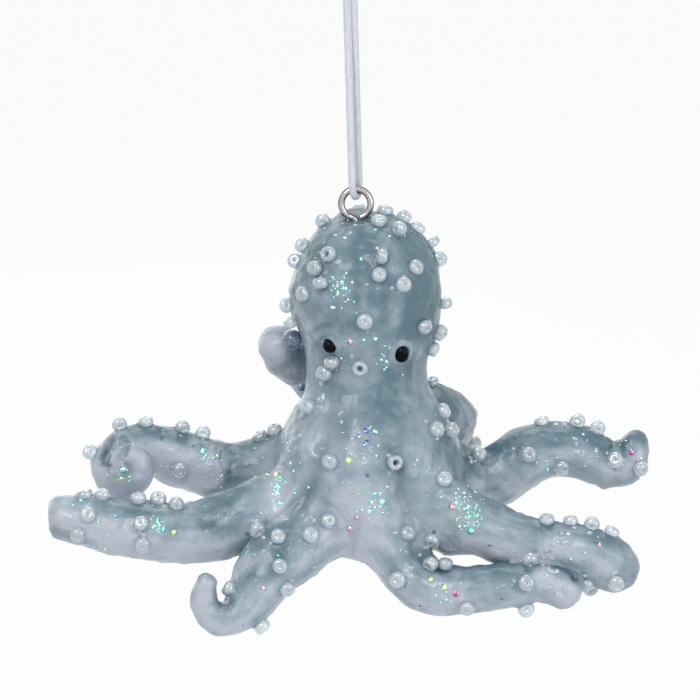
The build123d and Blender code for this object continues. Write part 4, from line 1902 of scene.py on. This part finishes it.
# Each arm's spine as shares of its reach from the hub, and its girth there as a share of its full girth
ARM_SHARES = {
    "arm_front_left": (
        (-0.1, -0.1, -0.06, 1.0), (-0.28, -0.27, -0.21, 1.04), (-0.472, -0.38, -0.35, 0.98),
        (-0.6, -0.46, -0.485, 0.85), (-0.68, -0.5, -0.6, 0.68), (-0.765, -0.53, -0.652, 0.57),
        (-0.86, -0.55, -0.61, 0.47), (-0.885, -0.57, -0.518, 0.4), (-0.87, -0.58, -0.44, 0.32),
    ),
    "arm_front_right": (
        (0.02, -0.1, -0.06, 1.0), (0.1, -0.25, -0.235, 0.97), (0.18, -0.34, -0.37, 0.78),
        (0.28, -0.39, -0.44, 0.75), (0.42, -0.41, -0.45, 0.69), (0.61, -0.41, -0.435, 0.59),
        (0.79, -0.4, -0.418, 0.52), (0.903, -0.39, -0.45, 0.56),
    ),
    "arm_left": (
        (-0.06, -0.03, -0.02, 1.0), (-0.22, -0.09, -0.05, 1.02), (-0.39, -0.13, -0.103, 0.92),
        (-0.53, -0.155, -0.138, 0.85), (-0.685, -0.17, -0.137, 0.78), (-0.84, -0.18, -0.113, 0.71),
        (-0.955, -0.18, -0.096, 0.63),
    ),
    "arm_right": (
        (0.05, -0.05, -0.02, 1.0), (0.22, -0.13, -0.075, 1.05), (0.39, -0.185, -0.135, 0.89),
        (0.56, -0.21, -0.198, 0.77), (0.71, -0.225, -0.22, 0.68), (0.84, -0.24, -0.247, 0.76),
        (0.903, -0.22, -0.287, 0.79),
    ),
    "arm_rear_left": (
        (-0.11, 0.08, 0.06, 1.0), (-0.275, 0.16, 0.035, 1.02), (-0.44, 0.185, -0.008, 0.93),
        (-0.61, 0.185, -0.004, 0.91), (-0.755, 0.155, 0.05, 0.85), (-0.87, 0.125, 0.1, 0.66),
        (-0.975, 0.075, 0.065, 0.51), (-0.975, 0.02, 0.005, 0.45), (-0.9, -0.015, -0.01, 0.43),
        (-0.85, -0.045, 0.045, 0.37), (-0.885, -0.06, 0.095, 0.29),
    ),
    "arm_rear_right": (
        (0.105, 0.08, 0.04, 1.0), (0.27, 0.15, 0.0, 1.0), (0.425, 0.18, -0.045, 0.95),
        (0.55, 0.19, 0.025, 0.93), (0.675, 0.2, 0.06, 0.86), (0.79, 0.2, 0.04, 0.8),
        (0.88, 0.19, 0.008, 0.69), (0.938, 0.18, 0.03, 0.62), (0.966, 0.175, 0.077, 0.47),
    ),
    "arm_back_left": (
        (-0.11, 0.28, 0.06, 1.0), (-0.18, 0.48, 0.24, 0.96), (-0.27, 0.54, 0.45, 0.9),
        (-0.41, 0.48, 0.63, 0.78), (-0.55, 0.36, 0.76, 0.75), (-0.62, 0.26, 0.86, 0.67),
    ),
    "arm_back_right": (
        (0.13, 0.24, 0.07, 1.0), (0.28, 0.39, 0.2, 0.97), (0.385, 0.51, 0.25, 0.93),
        (0.44, 0.68, 0.15, 0.83), (0.455, 0.83, 0.02, 0.66), (0.48, 0.95, -0.08, 0.52),
        (0.52, 1.01, -0.09, 0.38),
    ),
}
# Reach, girth, share that the blunt tip stands out by, how square the tip is, and how much wash its top takes
ARM_SIZES = {
    "arm_front_left": (26.0, 9.6, 0.7, 0.9, 0.5),
    "arm_front_right": (30.0, 9.8, 0.7, 0.7, 0.75),
    "arm_left": (45.0, 10.0, 0.72, 0.6, 0.42),
    "arm_right": (37.6, 9.6, 0.85, 0.8, 0.7),
    "arm_rear_left": (38.0, 9.2, 0.7, 0.9, 0.85),
    "arm_rear_right": (39.4, 9.4, 1.05, 1.0, 1.1),
    "arm_back_left": (21.0, 8.2, 0.8, 0.9, 0.5),
    "arm_back_right": (26.0, 9.4, 0.7, 0.9, 1.1),
}
# Small lumps pressed into the curl, into the horn's bend and between the two right arms:
# where each starts, which way it runs, its reach, its girth, and how much wash its top takes
FILLS = {
    "curl_heart": ((-31.9, 0.3, -71.3), (0.0, -0.52, 1.0), 3.0, 4.4, 0.5),
    "horn_heart": ((36.6, 7.1, -69.8), (1.0, 0.0, 0.6), 2.7, 3.2, 1.0),
    "right_fill": ((22.2, -10.4, -81.2), (1.0, 0.0, -0.1), 9.0, 4.0, 0.3),
}
FILL_SHARES = ((0.0, 0.94), (0.33, 1.0), (0.66, 0.98), (1.0, 0.9))
CROWN = np.array([2.3, 0.9, -33.15])
HEAD_WIDTH, HEAD_DEPTH, BODY_HEIGHT, BODY_FOOT_SHARE = 21.2, 20.0, 47.6, 0.36
HUB_OFFSET = (0.6, -1.0)
HUB_HEIGHT_SHARE = 0.79


def clay_forms() -> list[ClayForm]:
    """The lumps of clay, from the same sizes as the solids, and the small lumps pressed in between them.

    Returns:
        The head and body, the arms, then the small lumps.
    """
    foot = np.array(HUB_OFFSET) / BODY_HEIGHT
    rows = tuple((foot[0] * row, foot[1] * row, -row, girth) for row, girth in BODY_SHARES)
    hub = CROWN + [HUB_OFFSET[0], HUB_OFFSET[1], -BODY_HEIGHT * HUB_HEIGHT_SHARE]
    forms = [
        ClayForm(
            "head_and_body", CROWN, BODY_HEIGHT, HEAD_WIDTH, rows, BODY_FOOT_SHARE, -1,
            depth_share=HEAD_DEPTH / HEAD_WIDTH, crown_rise=0.1,
        )
    ]
    for node, (reach, girth, blunt, square, paint) in ARM_SIZES.items():
        hand = -1 if node.endswith("right") else 1
        forms.append(ClayForm(node, hub, reach, girth, ARM_SHARES[node], blunt, hand, square_tip=square, paint=paint))
    for node, (start, way, reach, girth, paint) in FILLS.items():
        rows = tuple((*(share * step for step in way), girth_share) for share, girth_share in FILL_SHARES)
        forms.append(ClayForm(node, np.array(start), reach, girth, rows, 0.8, 1, paint=paint))
    return forms


CENTRE, LEFT_REAR, LEFT, FRONT_LEFT = "head_and_body", "arm_rear_left", "arm_left", "arm_front_left"
RIGHT_REAR, RIGHT, FRONT_RIGHT = "arm_rear_right", "arm_right", "arm_front_right"
CURL = (LEFT_REAR, "curl_heart")
# Columns and rows of the picture, width in millimetres, relief, wash, crease, and the pieces that it is kept to
# A stroke's crease darkens as painted shade with pooled wash; strokes whose wash is painted light or shade are noted
STROKES = tuple(Stroke(*row) for row in (
    # Valleys between the arms' roots
    (((322, 448), (316, 475), (303, 500), (288, 518), (270, 530), (262, 542)), 1.0, -0.5, 0.3, 0.1),
    (((398, 470), (404, 500), (410, 530), (418, 552), (432, 563), (447, 567)), 0.9, -0.45, 0.3, 0.22),
    (((180, 505), (195, 500), (212, 492), (225, 485), (230, 475)), 0.5, -0.25, 0.2, 0.55),
    (((465, 445), (477, 472), (497, 492), (515, 502)), 0.9, -0.1, 0.3, 0.35),
    (((545, 563), (568, 568), (575, 578)), 0.4, -0.15, 0.1, 0.3),
    # Rises down the middle and to both sides
    (((352, 425), (356, 470), (362, 515), (362, 545)), 2.6, 0.5),
    (((356, 470), (361, 515), (362, 550)), 3.0, 0, -0.45),
    (((318, 400), (312, 440), (303, 475), (290, 505), (275, 520)), 1.6, 0.4, -0.25),
    (((425, 430), (440, 470), (455, 505), (480, 525)), 1.7, 0.4, -0.3),
    # Paint on the head, the chest and the arms, with painted light and shade where noted
    # Painted shade: a darker band down the head's right side
    (((428, 270), (432, 320)), 2.2, 0, 0.45),
    (((303, 265), (303, 325)), 1.6, 0, -0.45),
    (((345, 350), (390, 352)), 2.2, 0, 0.2),
    (((345, 440), (395, 465)), 2.6, 0, 0.15),
    (((452, 410), (448, 440), (450, 472)), 2.4, 0, 0.5),
    (((430, 450),), 1.4, 0, 0.4),
    (((290, 528), (285, 552), (270, 552)), 1.6, 0, 0.45),
    (((350, 472), (372, 472)), 1.8, 0, 0.35),
    (((330, 450),), 1.6, 0, -0.35),
    (((390, 430),), 1.6, 0, -0.35),
    (((368, 290),), 1.8, 0, -0.35),
    (((312, 290),), 1.6, 0, -0.35),
    (((190, 530),), 1.6, 0, -0.45, 0, (LEFT,)),
    # Painted light: paler clay over a shadowed patch
    (((440, 550), (456, 552)), 1.6, 0, -0.5),
    # Painted light: paler clay where the left arm overhangs and shades it
    (((238, 563), (250, 554), (260, 548)), 1.9, 0, -1.2, 0, (FRONT_LEFT,)),
    (((204, 598), (214, 618), (228, 624)), 2.0, 0, 0.4, 0, (FRONT_LEFT,)),
    # Painted light: paler clay along the contact shadow between the two right arms
    (((455, 569), (510, 570)), 1.0, 0, -0.4, 0, (FRONT_RIGHT,)),
    (((600, 562), (618, 574)), 2.6, 0, 0.35, 0, (RIGHT,)),
    (((445, 505), (475, 525)), 2.4, 0, 0.2, 0, (RIGHT,)),
    (((520, 465), (555, 456), (590, 464)), 2.2, 0, 0.25, 0, (RIGHT_REAR,)),
    # The arm's pale belly, made paler still as painted light over its shade
    (((172, 466), (208, 464)), 2.4, 0, -0.85, 0, (LEFT_REAR,)),
    (((102, 452), (120, 470), (138, 478)), 3.2, 0, -0.55, 0, (LEFT_REAR, "curl_heart")),
    (((385, 375), (392, 420), (395, 465)), 2.0, -0.15, 0.4),
    (((275, 480), (278, 515)), 2.0, 0, -0.45),
    (((52, 512), (75, 518), (110, 524), (130, 526)), 1.4, 0.06, -0.5),
    (((70, 536), (110, 545), (170, 552), (215, 546)), 1.5, 0, -0.4),
    (((52, 532), (68, 536), (92, 543)), 0.7, -0.12, 0.4, 0),
    (((180, 530), (200, 538), (235, 530)), 1.8, 0, 0.25),
    (((100, 512), (120, 516), (145, 515)), 1.0, 0, 0.25),
    (((205, 528), (214, 527)), 0.5, -0.12, 0.2, 0.4),
    (((120, 540), (150, 546)), 0.7, 0.12, -0.2),
    (((235, 490), (222, 508), (205, 520)), 1.8, 0, 0.5),
    (((250, 545), (246, 565), (240, 585)), 1.4, -0.05, 0.4, 0),
    (((165, 450), (185, 462), (205, 475)), 2.0, 0, -0.5, 0, (LEFT_REAR,)),
    (((490, 470), (530, 465), (575, 455), (605, 462)), 1.4, 0, -0.25, 0, (RIGHT_REAR,)),
    (((555, 545), (585, 555), (610, 565)), 2.2, 0, -0.55, 0, (RIGHT,)),
    # Painted light: paler clay along the contact shadow between the two right arms
    (((470, 546), (510, 555), (550, 562)), 1.4, 0, -0.6, 0, (RIGHT, "right_fill")),
    (((540, 575), (560, 583), (572, 595)), 1.6, 0.1, -0.9, 0, (FRONT_RIGHT, "right_fill")),
    (((545, 571),), 1.0, 0.35),
    (((566, 588),), 0.9, 0.35),
    (((258, 545), (250, 575)), 1.0, -0.1, 0.4, 0.2),
    (((222, 598), (232, 601)), 0.8, 0, 0.3, 0.5),
    (((203, 585), (202, 608), (212, 624), (240, 628)), 1.6, 0, -0.6),
    (((140, 455), (138, 472), (120, 482), (104, 474)), 1.8, 0, -0.7, 0, (LEFT_REAR, "curl_heart")),
    # Painted light: paler clay where the head shades the arm behind the neck
    (((272, 345), (275, 370), (295, 385)), 2.2, 0, -0.7, 0, ("arm_back_left",)),
    (((312, 325), (311, 360), (306, 395)), 1.2, 0, -0.35),
    (((425, 562), (470, 566), (530, 568)), 1.2, 0, 0.3),
    # Cracks, a pit and specks
    (((243, 454), (238, 459), (233, 461), (230, 467), (229, 473)), 0.15, -0.2, 0, 0.7),
    (((229, 473), (223, 469), (219, 458), (222, 453)), 0.13, -0.16, 0, 0.5),
    (((161, 431), (162, 439)), 0.2, -0.26, 0, 1.0),
    (((577, 577),), 0.5, -0.5, 0, 1.0),
    (((533, 552), (537, 551)), 0.2, -0.1, 0, 0.6),
    (((545, 553), (550, 552)), 0.2, -0.1, 0, 0.6),
    (((628, 462), (637, 461)), 0.25, -0.14, 0, 0.3),
    (((610, 468), (628, 466), (640, 456)), 1.2, 0, -0.6, 0, (RIGHT_REAR,)),
    (((603, 487), (605, 489)), 0.6, 0.7),
    # Smears down the head, a paler face, folds over the eyes, and painted shade below the right eye's mound
    (((372, 225), (374, 250), (371, 300)), 1.0, -0.05, 0.32),
    (((405, 240), (416, 270), (420, 300)), 1.0, -0.05, 0.3),
    (((430, 262), (433, 300)), 1.0, 0, 0.3),
    (((300, 270), (297, 300)), 0.9, 0, 0.3),
    (((388, 280), (384, 320)), 0.9, 0, 0.28),
    (((410, 232), (425, 250)), 1.4, 0, 0.3),
    (((350, 345), (380, 360)), 2.2, 0.05, -0.4),
    (((339, 238), (337, 262), (341, 290)), 1.1, 0.16, -0.2),
    (((357, 232), (359, 262), (356, 300), (358, 330)), 0.8, -0.1, 0.25),
    (((393, 228), (395, 262), (392, 300), (395, 325)), 1.0, 0.16, -0.14),
    (((411, 300), (409, 325), (414, 340)), 0.9, -0.1, 0.3),
    (((325, 300), (322, 320)), 0.9, 0.14, -0.2),
    (((312, 250), (306, 280), (308, 310)), 0.9, -0.08, 0.3),
    (((345, 310), (368, 313), (392, 322)), 0.9, 0.12, -0.15),
    (((330, 375), (352, 380), (378, 378)), 1.0, 0.08, -0.2),
    (((318, 300),), 1.6, 0.25),
    (((385, 250),), 1.8, 0.2),
    (((352, 270),), 1.6, 0.2),
    (((427, 285),), 1.6, 0.22),
    (((316, 338), (324, 333), (334, 335), (341, 343)), 0.7, 0.22, -0.15),
    (((388, 345), (398, 340), (410, 343)), 0.7, 0.14, -0.15),
    (((314, 333), (322, 326), (333, 325)), 0.34, -0.12, 0.1, 0.35),
    (((396, 350),), 2.0, 0.3),
    # Painted shade: darker below the right eye's mound
    (((415, 362), (408, 372)), 0.9, -0.05, 0.35, 0.1),
    # The curl's lip, fold and two gaps
    (((112, 441), (119, 435), (127, 436), (132, 443), (132, 452), (128, 458)), 0.5, 0.5, -0.3, 0, CURL),
    (((123, 438), (129, 442), (130, 449), (127, 455)), 0.34, -0.2, 0, 0.7, CURL),
    (((112, 440), (106, 449), (101, 457)), 0.5, -1.0, 0, 1.3, CURL),
    (((101, 463), (109, 465)), 0.4, -0.3, 0, 0.8, CURL),
))
PRESSES = (
    # The hollow that the ring lies in, the mound behind it, and the left side of the neck
    Press(CENTRE, (0.9, -0.9, -33.4), 1.7, -0.9),
    Press(CENTRE, (0.5, 2.6, -33.2), 2.3, 1.1),
    Press(CENTRE, (-5.9, -1.5, -54.5), 3.5, 0.6),
    # The curl and the left arm under it swell towards each other
    Press(LEFT, (-31.0, -7.0, -72.7), 4.5, 0.6),
    Press(LEFT_REAR, (-32.0, 0.0, -73.0), 3.0, 0.6),
    # So do the two right arms, at both ends of the slot between them
    Press(RIGHT, (22.5, -9.0, -81.6), 3.2, 0.8),
    Press(FRONT_RIGHT, (21.5, -12.2, -80.9), 3.2, 0.6),
    Press(RIGHT, (13.2, -7.5, -79.1), 2.6, 1.4),
    Press(FRONT_RIGHT, (13.2, -8.6, -80.2), 2.6, 1.3),
    # The arm behind the front hook is slimmer
    Press(FRONT_LEFT, (-16.6, -13.0, -83.2), 2.2, -0.8),
)
# Columns and rows of the picture where a bead's hole is clear
OPEN_HOLES = ((333, 256), (359, 367), (393, 465), (426, 564), (574, 417), (600, 592), (436, 335), (450, 437))
# Column, row, spread in pixels and count
DROP_CLUSTERS = (
    (548, 566, 6, 14), (560, 590, 6, 12), (215, 458, 6, 9), (221, 480, 3, 8), (110, 478, 5, 9), (88, 512, 6, 7),
    (262, 475, 5, 4), (254, 520, 5, 7), (440, 558, 4, 6), (620, 458, 8, 8), (578, 452, 7, 8), (366, 457, 8, 8),
    (292, 432, 5, 6), (318, 400, 5, 6), (330, 362, 4, 4), (398, 346, 8, 6), (345, 226, 9, 6), (410, 560, 8, 6),
    (300, 520, 8, 5), (475, 455, 6, 6), (560, 545, 8, 6), (170, 470, 6, 5), (140, 520, 7, 5), (340, 425, 9, 5),
)
GLITTER_CLUSTERS = (
    (341, 283, 6, 24), (338, 300, 5, 9), (349, 300, 5, 8), (278, 478, 4, 14), (278, 500, 6, 14),
    (377, 500, 8, 34), (467, 505, 9, 46), (470, 520, 7, 26), (157, 525, 5, 22), (367, 440, 10, 26),
    (122, 474, 5, 10), (203, 456, 6, 12), (390, 352, 7, 10), (375, 338, 3, 5), (352, 350, 10, 8),
    (300, 470, 16, 14), (420, 480, 16, 12), (260, 560, 10, 10), (450, 580, 12, 8), (640, 455, 8, 8),
    (575, 560, 14, 10), (320, 240, 20, 10), (400, 260, 22, 10), (110, 520, 20, 14), (550, 450, 20, 10),
)
# Column and row of the picture, width in millimetres and foil
HEX_FLAKES = (
    (276, 474, 0.85, Foil.STRAW), (268, 475, 0.7, Foil.GREEN), (278, 486, 0.95, Foil.MINT),
    (278, 492, 0.8, Foil.WHITE), (280, 503, 0.7, Foil.MINT), (375, 430, 0.95, Foil.MINT),
    (366, 431, 0.8, Foil.VIOLET), (366, 443, 0.85, Foil.VIOLET), (347, 460, 0.95, Foil.STRAW),
    (383, 501, 1.0, Foil.MINT), (369, 511, 0.7, Foil.MINT), (470, 531, 0.95, Foil.TEAL),
    (457, 593, 0.85, Foil.MAGENTA), (445, 587, 0.8, Foil.STRAW), (431, 579, 0.7, Foil.STRAW),
    (632, 452, 0.8, Foil.MAGENTA), (122, 471, 0.95, Foil.MINT), (121, 480, 0.75, Foil.STRAW),
    (203, 452, 0.95, Foil.MINT), (175, 532, 0.75, Foil.STRAW), (157, 521, 0.6, Foil.GREEN),
    (388, 487, 0.6, Foil.PINK), (451, 507, 0.9, Foil.PINK), (350, 530, 0.8, Foil.PINK),
    (356, 519, 0.6, Foil.PINK), (350, 341, 0.8, Foil.PINK), (375, 338, 0.6, Foil.MINT),
    (387, 361, 0.5, Foil.MINT), (385, 370, 0.4, Foil.MINT), (362, 260, 0.45, Foil.MINT),
    (338, 292, 0.7, Foil.MINT), (218, 455, 0.6, Foil.GREEN), (263, 588, 0.6, Foil.PINK),
    (80, 500, 0.6, Foil.TEAL), (98, 521, 0.5, Foil.GREEN), (600, 545, 0.6, Foil.PINK),
)


def main() -> None:
    """Build the ornament from the camera and cord to the last flake."""
    logging.basicConfig(level=logging.INFO, format="%(name)s %(message)s")
    studio = Studio()
    studio.camera()
    satin = SatinThread().material()
    knot = Knot().build(satin)
    HangingThread().build(satin, knot)
    clay = PaintedClay().material()
    glass = PearlGlass().material()
    figure = ClayFigure(clay_forms(), STROKES, PRESSES, studio.view)
    figure.shape()
    beads = SeedBeads(figure, open_holes=OPEN_HOLES)
    groups = sorted(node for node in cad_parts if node.endswith("_beads"))
    beads.settle(groups)
    figure.build(clay)
    for seed, group in enumerate(groups):
        beads.build(group, glass, 100 + seed)
    drops = VarnishDrops(figure)
    seats = np.vstack([placed[2] for placed in beads.placed.values()])
    drops.build(np.vstack([drops.beside(seats, 71, 2), drops.in_clusters(DROP_CLUSTERS, 72)]), glass, 73)
    BlueBeads().build(BlueGlass().material())
    black = BlackBead().material()
    for eye in (Eye("left", 1.0, (0.0, 0.0, 1.0)), Eye("right", 1.22, (-0.3, 0.0, 1.0))):
        eye.build(figure, clay, black)
    ScrewEye().build(NickelPlate().material())
    glitter = Glitter(figure, FoilFlake().material())
    glitter.lay_hexagons(HEX_FLAKES)
    draw = np.random.default_rng(33)
    glitter.lay_clusters(GLITTER_CLUSTERS, draw)
    glitter.lay_specks(draw)
    studio.build()


if __name__ == "__main__":
    main()
